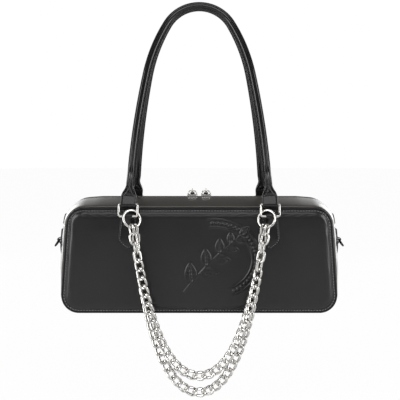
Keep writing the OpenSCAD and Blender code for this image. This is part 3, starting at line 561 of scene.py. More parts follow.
# %% Pressed motif
def leaf(x, z, px, pz, angle, length, width):
    """Height of one leaf: a raised line on its rim, a low cushion inside and a pressed rib."""
    c, s = np.cos(angle), np.sin(angle)
    l, m = (x - px)*c + (z - pz)*s, np.abs(-(x - px)*s + (z - pz)*c)
    t = np.clip(l/length, 0, 1)
    rim = width*np.sin(np.pi*t**0.85)**0.9 - m
    rim = np.where((l > 0) & (l < length), rim, -1.0)
    line = np.exp(-((rim - 0.7)/0.6)**2)
    cushion = 0.55*np.clip(rim/3.0, 0, 1)
    rib = 0.7*np.exp(-(m/0.6)**2)*np.clip(rim/1.5, 0, 1)
    veins = 0.14*np.cos(2*np.pi*(l - 0.9*m)/4.2)*np.clip(rim/2.5 - 0.3, 0, 1)
    return (rim > -0.9)*(0.95*line + cushion - rib + veins)


def motif(x, z):
    """Sprig, berries and beaded arc, in millimetres of height above the field."""
    h = np.zeros(x.shape)
    t = np.linspace(0, 1, 60)
    stem = np.stack([-18 + 62*t + 9*np.sin(2.6*t), 27 + 84*t - 13*t*t + 5*np.sin(4*t)], 1)
    near = np.min(np.hypot(x[..., None] - stem[:, 0], z[..., None] - stem[:, 1]), -1)
    h = np.maximum(h, 1.0*np.exp(-(near/0.9)**2))
    turn = np.arctan2(np.gradient(stem[:, 1]), np.gradient(stem[:, 0]))
    for k, at in enumerate((6, 13, 19, 26, 32, 39, 45, 51)):
        side = 1 if k % 2 == 0 else -1
        size = 25 - 1.7*k
        h = np.maximum(h, leaf(x, z, *stem[at], turn[at] + side*(0.78 + 0.02*k), size, size*0.27))
    h = np.maximum(h, leaf(x, z, *stem[-1], turn[-1], 15, 4.2))
    cx, cz, rx, rz = 18, 66, 50, 43
    for q in np.radians(np.arange(-62, 96, 6.2)):
        bx, bz = cx + rx*np.cos(q), cz + rz*np.sin(q)
        r = np.hypot(x - bx, z - bz)/2.1
        h = np.maximum(h, 1.0*np.sqrt(np.clip(1 - r*r, 0, 1)))
    for dr in (-4.6, 4.6):
        r = np.hypot((x - cx)/(rx + dr), (z - cz)/(rz + dr))
        q = np.degrees(np.arctan2((z - cz)/rz, (x - cx)/rx))
        fade = np.clip((q + 68)/6, 0, 1)*np.clip((100 - q)/6, 0, 1)
        h = np.maximum(h, 0.75*np.exp(-(((r - 1)*(46 + dr))/0.8)**2)*fade)
    return h


# %% Height across a panel
MOTIF_RISE = 2.0
# height over distance to the edge: turned edge to 3.9 mm, channel to 4.9 mm, roll to 13 mm
field_d, field_h = smooth_table([2.3, 2.6, 3.1, 3.9, 4.4, 4.9, 5.6, 6.8, 8.2, 10, 13, 70],
                                [-0.2, 0.2, 0.3, 0.2, -0.25, -0.2, 0.3, 1.1, 1.75, 2.2, 2.4, 2.4], 0.18)


print("field stands %.1f mm above the panel's edge line" % field_h[-1])


# %% Lines at a distance from the outline
def half_width(z, inset):
    """Half the panel's width at height z, for the outline moved in by inset."""
    r = CORNER - inset
    top, low = BODY_H - CORNER, CORNER
    t = np.clip((top + r*np.sin(SIDE_A) - z)/(top - low), 0, 1)
    w = TOP_CX + r*np.cos(SIDE_A) + t*(BASE_CX - TOP_CX)
    w = np.where(z > top + r*np.sin(SIDE_A), TOP_CX + np.sqrt(np.clip(r*r - (z - top)**2, 0, None)), w)
    return np.where(z < low + r*np.sin(SIDE_A), BASE_CX + np.sqrt(np.clip(r*r - (z - low)**2, 0, None)), w)


def ring_path(inset, y, step):
    """The outline moved in by inset at depth y, as a closed path at even steps."""
    s = np.linspace(-HALF_S, HALF_S, 1400, endpoint=False)
    x, z, q, _ = outline(s)
    ring = np.stack([x - inset*np.cos(q), np.full(len(s), float(y)), z - inset*np.sin(q)], 1)
    return resample(ring, step, True)


print("the panel is %.1f mm wide at mid height" % float(2*half_width(BODY_H/2, EDGE_IN)))


# %% Panels
def panel(name, front, stands_for):
    """Rows at rising z, columns from edge to edge, closed by a flat back, with one row of stitches."""
    nx, nz = (430, 176) if front else (300, 120)
    t = np.linspace(-1, 1, nz)
    z = BODY_H/2 + (BODY_H/2 - EDGE_IN)*(0.5*t + 0.5*np.sin(np.pi*t/2))
    c = np.linspace(-1, 1, nx)
    c = c + 0.3*np.sin(np.pi*c)/np.pi
    x = c[None, :]*half_width(z, EDGE_IN)[:, None]
    z = np.broadcast_to(z[:, None], x.shape)
    d = edge_distance(x, z)
    h = np.interp(d, field_d, field_h)
    # slow waves of the filling, only away from the edge
    calm = np.clip((d - 12)/14, 0, 1)
    h = h + calm*(0.2*np.sin(x/41 + 0.6)*np.sin(z/27 + 0.4) + 0.1*np.sin(x/17 - z/23))
    # puckers that cross the roll, pulled in by the stitches
    pull = np.exp(-((d - 8.5)/2.6)**2)*(0.1 + 0.07*np.sin(x/37 + z/23))
    h = h + pull*np.sin((x + 0.8*z)/3.1 + 2.2*np.sin((x - z)/13))
    if front:
        h = h + MOTIF_RISE*motif(x, z)*np.clip((d - 9)/4, 0, 1)
    side = -1 if front else 1
    grid = np.stack([x, side*(FACE_Y + h), z], -1)
    points, faces, uv, _ = part(grid, np.stack([x, z], -1)*0.001)
    # the rim is walked once round, and joined to the same rim on the flat back
    rim = np.r_[np.arange(nx), np.arange(1, nz)*nx + nx - 1, (nz - 1)*nx + np.arange(nx - 2, -1, -1),
                np.arange(nz - 2, 0, -1)*nx]
    back = points[rim].copy()
    back[:, 1] = side*(FACE_Y - PANEL_T)
    n = len(points)
    m = len(rim)
    faces += [[int(rim[k]), int(rim[(k + 1) % m]), n + (k + 1) % m, n + k] for k in range(m)]
    faces += [[n + k for k in range(m)]]
    shell = (np.concatenate([points, back]), faces, np.concatenate([uv, uv[rim]]), 0)
    seam = ring_path(3.7, side*(FACE_Y + 0.22), 1.2)
    row = stitches(seam, np.tile([0, side*1.0, 0], (len(seam), 1)), closed=True)
    return piece(name, [shell, row], [body_calf, thread], "shell", stands_for)


panel("front_panel_leather", True, ["front_panel"])
panel("back_panel_leather", False, ["back_panel"])

# %% [markdown]
# ## Piping
# A cord wrapped in thin leather runs round each panel. It is a round profile carried along the
# outline, with a station every 1.7 mm. Every other station is a little thinner, where a stitch
# pulls the leather down.

# %% Piping round both panels
for name, side in (("front", -1), ("back", 1)):
    path = ring_path(PIPE_R, side*(HALF_D - PIPE - 0.5), 1.7)
    n = len(path)
    t = along(path, True)
    up = np.tile([0.0, side, 0.0], (n, 1))
    a, b = circle(12, 1.0, n)
    pucker = PIPE_R*(1 + 0.018*np.cos(np.arange(n)*np.pi))[:, None]
    cord = carried(path, unit(np.cross(t, up)), up, a*pucker, b*pucker, True)
    piece(name + "_piping_leather", [cord], [cord_calf], "shell", [name + "_piping"])

# %% [markdown]
# ## Gusset and zip strips
# One strip of leather makes the base and both sides. Above the side tabs it meets the crowned
# top, which is cut in two strips with the zip between them. The strips open with the zip, so each
# is made as a left and a right half. A profile across the strip gives its turned edge and stitched
# channel.

# %% Gusset
GUSSET_HALF, DIP_W = 43.85, 1.65
ys = np.linspace(-1, 1, 34)
ys = GUSSET_HALF*(ys + 0.12*np.sin(np.pi*ys)/np.pi)
edge_dip = -0.55*np.clip((np.abs(ys) - 42.2)/DIP_W, 0, 1)**2
ss = np.linspace(ZIP_S, 2*HALF_S - ZIP_S, 230)
S, Y = np.meshgrid(ss, ys, indexing="ij")
ripple = 0.10*np.sin(S/19)*np.cos(Y/16) + 0.06*np.sin(S/8.5 + Y/11)
lift = edge_dip[None, :] + ripple*(1 - (Y/HALF_D)**2)
uv = np.stack([S, Y], -1)*0.001
piece("gusset_leather", [closed_sheet(skin(S, Y, lift), skin(S, Y, -LEATHER), uv)], [painted_sheen_calf], "shell",
      ["lower_gusset"])

# %% Profiles of strip and tooth
# depth from the middle, and height above the skin: a turned edge at the panel, the stitched
# channel near 8.5 mm and a soft fold beside the teeth
strip_y = np.array([-43.45, -43.0, -42.2, -41.2, -39.6, -37, -33, -28, -23, -18, -14, -11, -9.8, -9.2,
                    -8.7, -8.2, -7.7, -7.1, -6.5, -6.0, -5.65, -5.42, -5.36])
strip_h = np.array([-0.75, -0.35, -0.12, 0.0, 0.02, 0, 0, 0, 0, 0, 0, 0.02, 0.06, -0.02,
                    -0.3, -0.34, -0.05, 0.12, 0.14, 0.08, -0.12, -0.5, -0.95])
# a tooth's outline from above, and its four layers as a share of that outline and a height
tooth_line = np.array([[-0.5, -3.4], [0.5, -3.4], [0.45, -1.2], [0.8, -0.1],
                       [0.62, 1.05], [-0.62, 1.05], [-0.8, -0.1], [-0.45, -1.2]])
tooth_layers = ((0.9, -1.0), (1.0, -0.6), (1.0, 0.1), (0.8, 0.42))
tooth_points = np.concatenate([np.c_[tooth_line*w, np.full(8, z)] for w, z in tooth_layers])
tooth_faces = grid_faces(4, 8, round_cols=True).tolist() + [list(range(7, -1, -1)), list(range(24, 32))]
TOOTH_PITCH, SEAM_Y = 2.5, 8.45
# x where the bend of each half starts and where it ends
RAMP = ((-150.0, -119.0), (150.0, 119.0))
print("a tooth is %.1f mm deep and has %d points" % (np.ptp(tooth_line[:, 1]), len(tooth_points)))


# %% Zip strips, tape and teeth
def zip_half(row, side, left):
    """Strip, tape and teeth of one row on one side of the middle, ending in the fixed corner.

    side is -1 for the front row and 1 for the back row; the teeth of the two rows take turns.
    """
    hand = -1 if left else 1
    s = hand*np.r_[np.linspace(0, 124, 58), np.linspace(126, ZIP_S, 36)]
    S, Y = np.meshgrid(s, strip_y, indexing="ij")
    soft = 0.09*np.sin(S/15 + 1)*np.sin(Y/9)
    outer = skin(S, -side*Y, strip_h[None, :] + soft*np.clip((np.abs(Y) - 10)/8, 0, 1))
    inner = skin(S, -side*Y, -LEATHER + 0.3*(strip_h[None, :] < -0.7))
    leather = closed_sheet(outer, inner, np.stack([S, Y], -1)*0.001)
    line = skin(s, side*SEAM_Y + 0*s, -0.3)
    up = unit(skin(s, side*SEAM_Y + 0*s, 1.0) - line)
    sew = stitches(line, up)
    T, W = np.meshgrid(s, np.linspace(-11, -1.75, 6), indexing="ij")
    uv = np.stack([T, W], -1)*0.001
    tape = closed_sheet(skin(T, -side*W, -1.95), skin(T, -side*W, -2.55), uv)
    first = 0.6 if side < 0 else 1.85
    at = hand*(np.arange(int((ZIP_S - 9.5)/TOOTH_PITCH))*TOOTH_PITCH + first)
    x, z, q, share = outline(at)
    d = share*CROWN - 1.25
    origin = np.stack([x + d*np.cos(q), 0*x, z + d*np.sin(q)], -1)
    az = np.stack([np.cos(q), 0*q, np.sin(q)], -1)
    ay = np.tile([0.0, -side, 0.0], (len(at), 1))
    teeth = copies(tooth_points, tooth_faces, origin, unit(np.cross(ay, az)), ay, az)
    body = "top_" + row
    start, end = RAMP[0 if left else 1]
    bend = ("shell", body, (start/1000, 0, 0), (end/1000, 0, 0))
    name = "%s_%s" % (row, "left" if left else "right")
    nodes = [row + "_zip_strip", row + "_corner_strips"]
    piece(name + "_strip_leather", [leather, sew], [painted_sheen_calf, thread], body, nodes, 55, bend)
    piece(name + "_zip_tape_cloth", [tape], [tape_weave], body, [row + "_zip_tape", "end_tapes"], 55, bend)
    piece(name + "_zip_teeth", [teeth], [acetal], body, [row + "_teeth", "end_teeth"], 40, bend)


for row, side in (("front", -1), ("back", 1)):
    for left in (True, False):
        zip_half(row, side, left)

# %% [markdown]
# ## Zip ends
# A folded leather tip is sewn over each end of the tape, with two bars of stitches across it.
# Its rim is rounded as a quarter circle over the last 0.8 mm.

# %% Leather tips
TIP_UP, TIP_DOWN, TIP_HALF = 9, 3, 6.8
tips = []
for hand in (-1, 1):
    s = hand*np.linspace(ZIP_S - TIP_UP, ZIP_S + TIP_DOWN, 12)
    y = np.linspace(-TIP_HALF, TIP_HALF, 14)
    S, Y = np.meshgrid(s, y, indexing="ij")
    to_end = np.minimum(np.abs(S) - ZIP_S + TIP_UP, ZIP_S + TIP_DOWN - np.abs(S))
    round_off = np.clip(np.minimum(TIP_HALF - np.abs(Y), to_end)/0.8, 0, 1)
    lift = 0.3 + 1.3*np.sqrt(round_off*(2 - round_off))
    tips.append(closed_sheet(skin(S, Y, lift), skin(S, Y, 0.05), np.stack([S, Y], -1)*0.001))
    across = np.linspace(-5.4, 5.4, 14)
    for off in (-7.2, 1.2):
        bar_s = np.full(14, hand*(ZIP_S + off))
        line = skin(bar_s, across, 1.58)
        tips.append(stitches(line, unit(skin(bar_s, across, 3.0) - line), 1.9, 2.5))
piece("zip_end_leather", tips, [trim_calf, thread], "shell", ["zip_ends"])


# %% [markdown]
# ## Sliders and pullers
# A slider is a cast plate with rounded ends, a lip beside the teeth, and an arched bridge. The
# plate is a stack of outlines and the bridge is a profile carried along an arch, both with the
# rounded edges of a casting. The flat puller hangs on the bridge by a wire eye and lies to the
# back.

# %% Plates and boxes
def stacked(outline_xy, levels):
    """A plate from one outline: each level is (z, inset), drawn in by inset at both half axes."""
    half = np.abs(outline_xy).max(0)
    rings = [np.c_[outline_xy*(1 - inset/half), np.full(len(outline_xy), z)] for z, inset in levels]
    return part(np.array(rings), round_cols=True, caps=True)


def moved(p, shift):
    """The same part, shifted."""
    return p[0] + np.asarray(shift, float), p[1], p[2], p[3]


def soft_box(a, b, power, n=40):
    """A rounded rectangle: |x/a| and |y/b| to that power add up to one."""
    q = np.linspace(0, 2*np.pi, n, endpoint=False)
    c, s = np.cos(q), np.sin(q)
    return np.stack([a*np.sign(c)*np.abs(c)**(2/power), b*np.sign(s)*np.abs(s)**(2/power)], 1)


print("a soft box has", len(soft_box(1, 1, 4)), "points")


# %% Slider
def slider_parts(x0):
    """Plate with a waist, front lip, and a bridge whose ends spread into the plate."""
    plate_line = soft_box(6.5, 4.7, 4.5)
    plate_line[:, 1] *= 1 - 0.16*np.exp(-(plate_line[:, 0]/3.2)**2)
    plate = stacked(plate_line, [(0, 0.35), (0.12, 0.08), (0.4, 0), (1.0, 0), (1.28, 0.1), (1.4, 0.4)])
    lip = stacked(soft_box(6.1, 0.36, 6), [(-2.0, 0.05), (-1.8, 0), (0.6, 0)])
    q = np.linspace(0, np.pi, 30)
    arch_x = 5.2*np.sign(np.cos(q))*np.abs(np.cos(q))**0.6
    arch = np.stack([arch_x, 0*q, 0.7 + 5.3*np.sin(q)**0.62], 1)
    arch[[0, -1], 2] = 0.5
    t = along(arch)
    side = np.tile([0.0, 1.0, 0.0], (30, 1))
    sec = soft_box(1.2, 0.72, 3.5, 14)
    wide = 1 + 0.25*np.cos(q)**2
    bridge = carried(arch, side, unit(np.cross(t, side)), sec[None, :, 0]*wide[:, None],
                     np.tile(sec[:, 1], (30, 1)))
    shift = (x0, 0, SLIDER_Z)
    return [moved(plate, shift), moved(lip, (x0, -4.3, SLIDER_Z)), moved(bridge, shift)]


print("a slider's underside is %.2f mm above the base" % SLIDER_Z)


# %% Puller
def puller_parts(x0):
    """A wire eye and a flat pull; steps go from the rim over the face and through the hole."""
    eye_r, pull_half, pull_rest = 2.45, 9.8, np.radians(19)
    q = np.linspace(0, 2*np.pi, 32, endpoint=False)
    eye = np.stack([0*q, eye_r*np.cos(q), eye_r*np.sin(q)], 1)
    t = along(eye, True)
    side = np.tile([1.0, 0.0, 0.0], (32, 1))
    a, b = circle(10, 0.6, 32)
    wire = carried(eye, side, unit(np.cross(t, side)), a, b, True)
    n = 56
    q = np.linspace(0, 2*np.pi, n, endpoint=False)
    rim = soft_box(3.0, pull_half, 3.6, n)
    rim[:, 0] *= np.interp(rim[:, 1], [-pull_half, -4, pull_half], [0.5, 0.9, 1.0])
    rim[:, 1] += eye_r + pull_half
    hole = np.stack([1.2*np.cos(q), 20.3 + 1.2*np.sin(q)], 1)
    steps = [(rim, 0.0, -0.35), (rim, 0.0, 0.35), (rim, 0.25, 0.65), (rim, 0.6, 0.62),
             (rim, 0.8, 0.45), (hole, -0.7, 0.45), (hole, -0.5, 0.62), (hole, -0.15, 0.62),
             (hole, 0, 0.4), (hole, 0, -0.4), (hole, -0.15, -0.62), (rim, 0.25, -0.65)]
    rows = []
    for line, inset, z in steps:
        out = unit(line - line.mean(0))
        rows.append(np.c_[line - out*inset, np.full(n, z)])
    plate = part(np.array(rows).transpose(1, 0, 2), round_rows=True, round_cols=True)
    c, s = np.cos(pull_rest), np.sin(pull_rest)
    turned = []
    for p, f, uv, k in (wire, plate):
        y, z = p[:, 1]*c + p[:, 2]*s, -p[:, 1]*s + p[:, 2]*c
        turned.append((np.stack([p[:, 0] + x0, y, z + ARCH_Z], 1), f, uv, k))
    return turned


# %% Sliders and pullers in place
for name, x0 in (("left", -8.5), ("right", 8.5)):
    piece(name + "_slider_metal", slider_parts(x0), [nickel], "slider_" + name, [name + "_slider"], 45)
    piece(name + "_puller_metal", puller_parts(x0), [nickel], "puller_" + name, [name + "_puller"], 45)


# %% [markdown]
# ## Handles
# Each handle is one strap of leather rolled round a cord and sewn along its inner side. Below,
# it opens in pleats to a flat loop round the ring's bar. The whole strap is one profile that
# changes along a path of arcs: a box-like section at the loop, a pleated one in the flare and a
# round one above. The raised seam runs on the side of the arch's middle, and a shallow fold
# line runs down the outward face, where the leather was pressed as it was rolled.

# %% Handle path
FOOT_A, LOOP_R, CREST_R = np.radians(4.5), 3.6, 46
# the two crests lie side by side, 0.3 mm clear of the middle, so each handle leans in by this
LEAN_Y = HIGH_Y - HANDLE_R - 0.3
LEAN = np.arctan2(LEAN_Y, RISE)


def handle_line():
    """Half of the centre line in the handle's own plane, from below the ring bar to the crest.

    A straight foot, two wide arcs and the crest's arc meet with equal slopes. The radii of the
    wide arcs solve two equations, one for each coordinate of the gap that they have to span.
    """
    foot, arm, shoulder = FOOT_A, np.radians(11.5), np.radians(31.0)
    crest_v = np.hypot(RISE, LEAN_Y) - CREST_R
    su, sv = CREST_R*np.cos(shoulder), crest_v + CREST_R*np.sin(shoulder)
    fu, fv = HANDLE_HALF - 40*np.sin(foot), 40*np.cos(foot)
    m = np.array([[np.cos(arm) - np.cos(shoulder), np.cos(foot) - np.cos(arm)],
                  [np.sin(shoulder) - np.sin(arm), np.sin(arm) - np.sin(foot)]])
    arm_r, low_r = np.linalg.solve(m, [fu - su, sv - fv])
    au, av = su + arm_r*m[0, 0], sv - arm_r*m[1, 0]
    v = np.r_[-LOOP_R*np.cos(np.linspace(0, 1.45, 9)), np.linspace(0, fv, 72)]
    line = [np.stack([np.where(v < 0, HANDLE_HALF, HANDLE_HALF - v*np.tan(foot)), v], 1)]
    low_arc = (au - low_r*np.cos(arm), av - low_r*np.sin(arm), low_r, foot, arm, 30)
    high_arc = (su - arm_r*np.cos(shoulder), sv - arm_r*np.sin(shoulder), arm_r, arm, shoulder, 34)
    crest_arc = (0, crest_v, CREST_R, shoulder, np.pi/2, 34)
    for cu, cv, r, a0, a1, n in (low_arc, high_arc, crest_arc):
        q = np.linspace(a0, a1, n + 1)[1:]
        line.append(np.stack([cu + r*np.cos(q), cv + r*np.sin(q)], 1))
    return np.concatenate(line)


HALF_LINE = handle_line()
print("half of a handle has %d stations and leans in by %.1f degrees" % (len(HALF_LINE), np.degrees(LEAN)))


# height of the bar of stitches that closes the loop over the ring
BAR_V = 10.9


def leaned(u, v, w, side):
    """From the handle's plane to the bag: lean inwards about the ring's upper bar."""
    y = -HIGH_Y + v*np.sin(LEAN) + w*np.cos(LEAN)
    return np.stack([u, -side*y, HIGH_Z + v*np.cos(LEAN) - w*np.sin(LEAN)], -1)


# %% Handle strap
def handle(name, side):
    """One closed tube: half axes a and b times a rounded box of changing power, times the relief.

    v is the height above the ring's upper bar, q the angle round the strap and w the share of
    the flat strap, 1 at the loop and 0 in the tube. side is -1 for the front, 1 for the back.
    """
    right = HALF_LINE
    line = np.concatenate([right[:-1], (right*[-1, 1])[::-1]])
    n, m = len(line), 96
    v = line[:, 1]
    t = unit(np.gradient(line, axis=0))
    t[:9], t[-9:] = [0, 1], [0, -1]
    nrm = np.stack([t[:, 1], -t[:, 0]], 1)
    low = np.clip((23 - v)/15, 0, 1)
    w = low*low*(3 - 2*low)
    half_a = HANDLE_R + (9.2 - HANDLE_R)*w
    half_b = HANDLE_R + (LOOP_R - HANDLE_R)*w
    half_b = np.where(v < 0, np.sqrt(np.clip(LOOP_R**2 - v**2, 0.02, None)), half_b)
    half_b = half_b - 0.4*np.exp(-((v - BAR_V)/1.0)**2)
    power = 2 + 5*w*w
    q = np.linspace(0, 2*np.pi, m, endpoint=False)
    c, s = np.cos(q), np.sin(q)
    pleat = np.interp(v, [9.5, 14, 24, 34, 48], [0, 0.2, 0.17, 0.08, 0])
    flute = 1 + pleat[:, None]*np.cos(8*q)[None, :]*np.abs(s)[None, :]
    seam = 0.85*np.exp(-((q - np.pi)/0.2)**2)[None, :]*np.clip((v - 20)/8, 0, 1)[:, None]
    groove = -0.25*(np.exp(-((q - np.pi + 0.5)/0.14)**2) + np.exp(-((q - np.pi - 0.5)/0.14)**2))
    groove = groove[None, :]*np.clip((v - 22)/8, 0, 1)[:, None]
    fold = -0.4*np.exp(-((q - 4.75)/0.24)**2)
    fold = fold[None, :]*np.clip((v - 20)/10, 0, 1)[:, None]
    radial = flute*(1 + (seam + groove + fold)/HANDLE_R)
    a = half_a[:, None]*np.sign(c)*np.abs(c)**(2/power[:, None])*radial
    b = half_b[:, None]*np.sign(s)*np.abs(s)**(2/power[:, None])*radial
    u = line[:, :1] + a*nrm[:, :1]
    vv = v[:, None] + a*nrm[:, 1:]
    uv = np.stack(np.broadcast_arrays(np.arange(n)[:, None]*3.0, q[None, :]*HANDLE_R), -1)*0.001
    parts = [part(leaned(u, vv, b, side), uv, round_cols=True, caps=True)]
    on = v > 30
    for off in (-1, 1):
        pu = line[on, 0] - nrm[on, 0]*4.75
        pv = line[on, 1] - nrm[on, 1]*4.75
        path = leaned(pu, pv, np.full(on.sum(), off*1.5), side)
        above = leaned(pu - nrm[on, 0]*0.7, pv - nrm[on, 1]*0.7, np.full(on.sum(), off*2.3), side)
        parts.append(stitches(path, unit(above - path), 2.4, 3.6, sink=0.42))
    bar_u = np.linspace(-7.2, 7.2, 12)*0.86
    bar_v = np.full(12, BAR_V)
    for hand in (-1, 1):
        for face in (-1, 1):
            uu = hand*(HANDLE_HALF - BAR_V*np.tan(FOOT_A)) + bar_u
            path = leaned(uu, bar_v, np.full(12, face*3.45), side)
            above = leaned(uu, bar_v, np.full(12, face*5.0), side)
            parts.append(stitches(path, unit(above - path), 2.0, 2.7, sink=0.02))
    row = "front" if side < 0 else "back"
    nodes = [row + "_handle_" + kind for kind in ("cover", "core", "flares", "loops")]
    return piece(name, parts, [trim_calf, dull_thread], row + "_handle", nodes)


handle("front_handle_leather", -1)
handle("back_handle_leather", 1)


# %% [markdown]
# ## Rectangular rings and shield tabs
# A bent wire ring joins each handle to a tab. The tab is a shield of leather sewn flat on the
# panel, and its neck goes round the ring's lower bar.

# %% Wire rings
def ring_wire(half, height, corner, wire, frame_at, n_arc=10):
    """A rounded rectangle of wire, its lower bar on the x axis, placed by frame_at(x, h).

    The wire's up direction is the normal of the ring's plane, from frame_at at two unit steps.
    """
    pts = []
    for cx, cz, a0 in ((half - corner, corner, -90), (half - corner, height - corner, 0),
                       (-half + corner, height - corner, 90), (-half + corner, corner, 180)):
        q = np.radians(np.linspace(a0, a0 + 90, n_arc))
        pts.append(np.stack([cx + corner*np.cos(q), cz + corner*np.sin(q)], 1))
    flat = np.concatenate(pts)
    path = resample(frame_at(flat[:, 0], flat[:, 1]), 1.1, True)
    t = along(path, True)
    zero, one = np.array([0.0]), np.array([1.0])
    origin = frame_at(zero, zero)
    face = unit(np.cross(frame_at(one, zero) - origin, frame_at(zero, one) - origin))
    up = np.repeat(face, len(path), 0)
    a, b = circle(14, wire, len(path))
    return carried(path, unit(np.cross(t, up)), up, a, b, True)


# %% Four strap rings
for row, side in (("front", -1), ("back", 1)):
    for name, hand in (("left", -1), ("right", 1)):
        place = lambda x, h: np.stack([hand*HANDLE_HALF + x, side*(LOW_Y - h*np.sin(TILT)),
                                       RING_Z + h*np.cos(TILT)], -1)
        wire = ring_wire(RING_HALF, RING_H, RING_CORNER, RING_R, place)
        piece("%s_%s_ring_metal" % (row, name), [wire], [nickel], row + "_rings",
              ["%s_%s_ring" % (row, name)])


# %% Softened lines
def eased(key, n):
    """n points on a broken line through key, softened three times by the 1 2 1 average."""
    t = np.linspace(0, len(key) - 1, n)
    line = np.stack([np.interp(t, np.arange(len(key)), key[:, k]) for k in (0, 1)], 1)
    for _ in range(3):
        line[1:-1] = 0.25*line[:-2] + 0.5*line[1:-1] + 0.25*line[2:]
    return line


print("a straight line stays straight:", eased(np.array([[0.0, 0.0], [1.0, 1.0]]), 3)[1])


# %% Shield tabs
# a tab's straight length, the length of its rounded tip and its greatest half width
TAB_STRAIGHT, TAB_TIP, TAB_HALF = 27, 12.6, 12.2
# height over distance to the rim: a burnished edge, the sewn groove near 2 mm, the low dome
tab_d = [0, 0.15, 0.4, 0.9, 1.5, 1.95, 2.4, 3.2, 5, 9, 14]
tab_h = [0.7, 1.3, 1.75, 2.0, 1.98, 1.62, 1.72, 2.05, 2.2, 2.3, 2.3]
# the neck's way over the ring's lower bar, as (out from the tab, up from the bar)
neck_key = np.array([[1.6, -12], [2.35, -10], [3.1, -8.2], [4.6, -5.6], [6.0, -3.4], [7.1, -1.6],
                     [7.45, 0.2], [6.8, 1.75], [5.3, 2.45], [3.8, 1.9], [3.0, 0.4], [2.5, -1.4],
                     [1.7, -3.4]])


def tab(name, side, hand, stands_for):
    """Rows go down the tab; each is its half width times a column, domed and dipped at the sewing."""
    v = np.r_[np.linspace(1.0, 4.6, 8), np.linspace(5.2, TAB_STRAIGHT, 30),
              TAB_STRAIGHT + TAB_TIP*np.sin(np.linspace(0.05, np.pi/2, 22))]
    w = np.interp(v, [0, 1.5, 3.4, 5.4, 12, TAB_STRAIGHT], [7.4, 8.6, 9.5, 9.95, 10.7, TAB_HALF])
    point = TAB_HALF*np.clip(1 - ((v - TAB_STRAIGHT)/TAB_TIP)**2, 0, 1)**0.92 + 0.06
    w = np.where(v > TAB_STRAIGHT, point, w)
    c = np.linspace(-1, 1, 33)
    c = c + 0.35*np.sin(np.pi*c)/np.pi
    x = c[None, :]*w[:, None]
    V = np.broadcast_to(v[:, None], x.shape)
    slope = np.gradient(w, v)
    to_side = (w[:, None] - np.abs(x))/np.sqrt(1 + slope[:, None]**2)
    rim = np.minimum(to_side, np.minimum(V - 0.9, 39.65 - V + 0*x))
    h = np.interp(rim, tab_d, tab_h)
    front = np.stack([hand*HANDLE_HALF + x, side*(TAB_Y + h), RING_Z - V], -1)
    base = np.stack([hand*HANDLE_HALF + x, side*(TAB_Y - 0.3 + 0*x), RING_Z - V], -1)
    plate = closed_sheet(front, base, np.stack([x, V], -1)*0.001)
    keep = v > 1.4
    inset = np.clip(w[keep] - 1.95*np.sqrt(1 + slope[keep]**2), 0, None)
    vv = np.minimum(v[keep], 39.6 - 2.6)
    right = np.stack([inset, vv], 1)
    loop = np.concatenate([right, (right*[-1, 1])[::-1]])
    sew = np.stack([hand*HANDLE_HALF + loop[:, 0], np.full(len(loop), side*(TAB_Y + 1.72)),
                    RING_Z - loop[:, 1]], 1)
    rows = stitches(sew, np.tile([0, side*1.0, 0], (len(loop), 1)), 2.1, 2.9)
    way = eased(neck_key, 60)
    path = np.stack([np.full(60, hand*HANDLE_HALF), side*(TAB_Y + way[:, 0]), RING_Z + way[:, 1]], 1)
    sec = soft_box(5.0, 0.75, 5, 22)
    across = np.tile([1.0, 0.0, 0.0], (60, 1))
    widen = np.interp(np.arange(60), [0, 14, 59], [1.5, 1.0, 1.0])
    neck = carried(path, across, unit(np.cross(along(path), across)), sec[None, :, 0]*widen[:, None],
                   np.tile(sec[:, 1], (60, 1)))
    return piece(name, [plate, rows, neck], [trim_calf, thread], "shell", stands_for)


for row, side in (("front", -1), ("back", 1)):
    for name, hand in (("left", -1), ("right", 1)):
        tab("%s_%s_tab_leather" % (row, name), side, hand, ["%s_%s_tab" % (row, name)])

# %% [markdown]
# ## Round rings and curb chain
# A round ring hooks the inner lower corner of each front ring. Two strands of curb chain hang
# between them. Each strand is a catenary. A curb link is an oval of thick wire twisted a
# quarter turn between its ends, so that all the links lie flat and face the same way, and the
# next link passes through at a right angle. The few links at each end of a strand turn by
# other angles, to pass from the ring into the row, and the first three are of thinner wire.

# %% Round rings
HOOP_R, HOOP_WIRE = 10.6, 1.6
# how the left ring is turned from facing the front: towards the middle, and upwards
YAW, PITCH = np.radians(28.8), np.radians(21.9)
ring_c = np.array([-HANDLE_HALF + 4.66, -LOW_Y - 2.28, RING_Z - 2.64])
ring_n = np.array([np.sin(YAW)*np.cos(PITCH), -np.cos(YAW)*np.cos(PITCH), np.sin(PITCH)])
ring_up = unit(np.array([0, 0, 1]) - ring_n*ring_n[2])
ring_side = np.cross(ring_up, ring_n)
for name, hand in (("left", 1), ("right", -1)):
    q = np.linspace(0, 2*np.pi, 64, endpoint=False)[:, None]
    flip = np.array([hand, 1, 1])
    path = (ring_c + HOOP_R*(np.cos(q)*ring_up + np.sin(q)*ring_side))*flip
    up = np.tile(ring_n*flip, (64, 1))
    a, b = circle(16, HOOP_WIRE, 64)
    hoop = carried(path, unit(np.cross(along(path, True), up)), up, a, b, True)
    piece(name + "_round_ring_metal", [hoop], [nickel], "round_ring_" + name, [name + "_round_ring"])

# %% Chain strands
# pitch, wire of the end links, width outside and length inside of a link
LINK_PITCH, LINK_WIRE, LINK_W, LINK_IN = 10.55, 2.6, 10.8, 10.9
# how much thicker the wire is beyond the third link, and half of the row's depth at most
THICKER, ROW_HALF = 1.26, 3.7


def hook(a):
    """The round ring's wire at angle a from its lowest point."""
    a = np.radians(a)
    return ring_c + HOOP_R*(np.sin(a)*ring_side - np.cos(a)*ring_up)


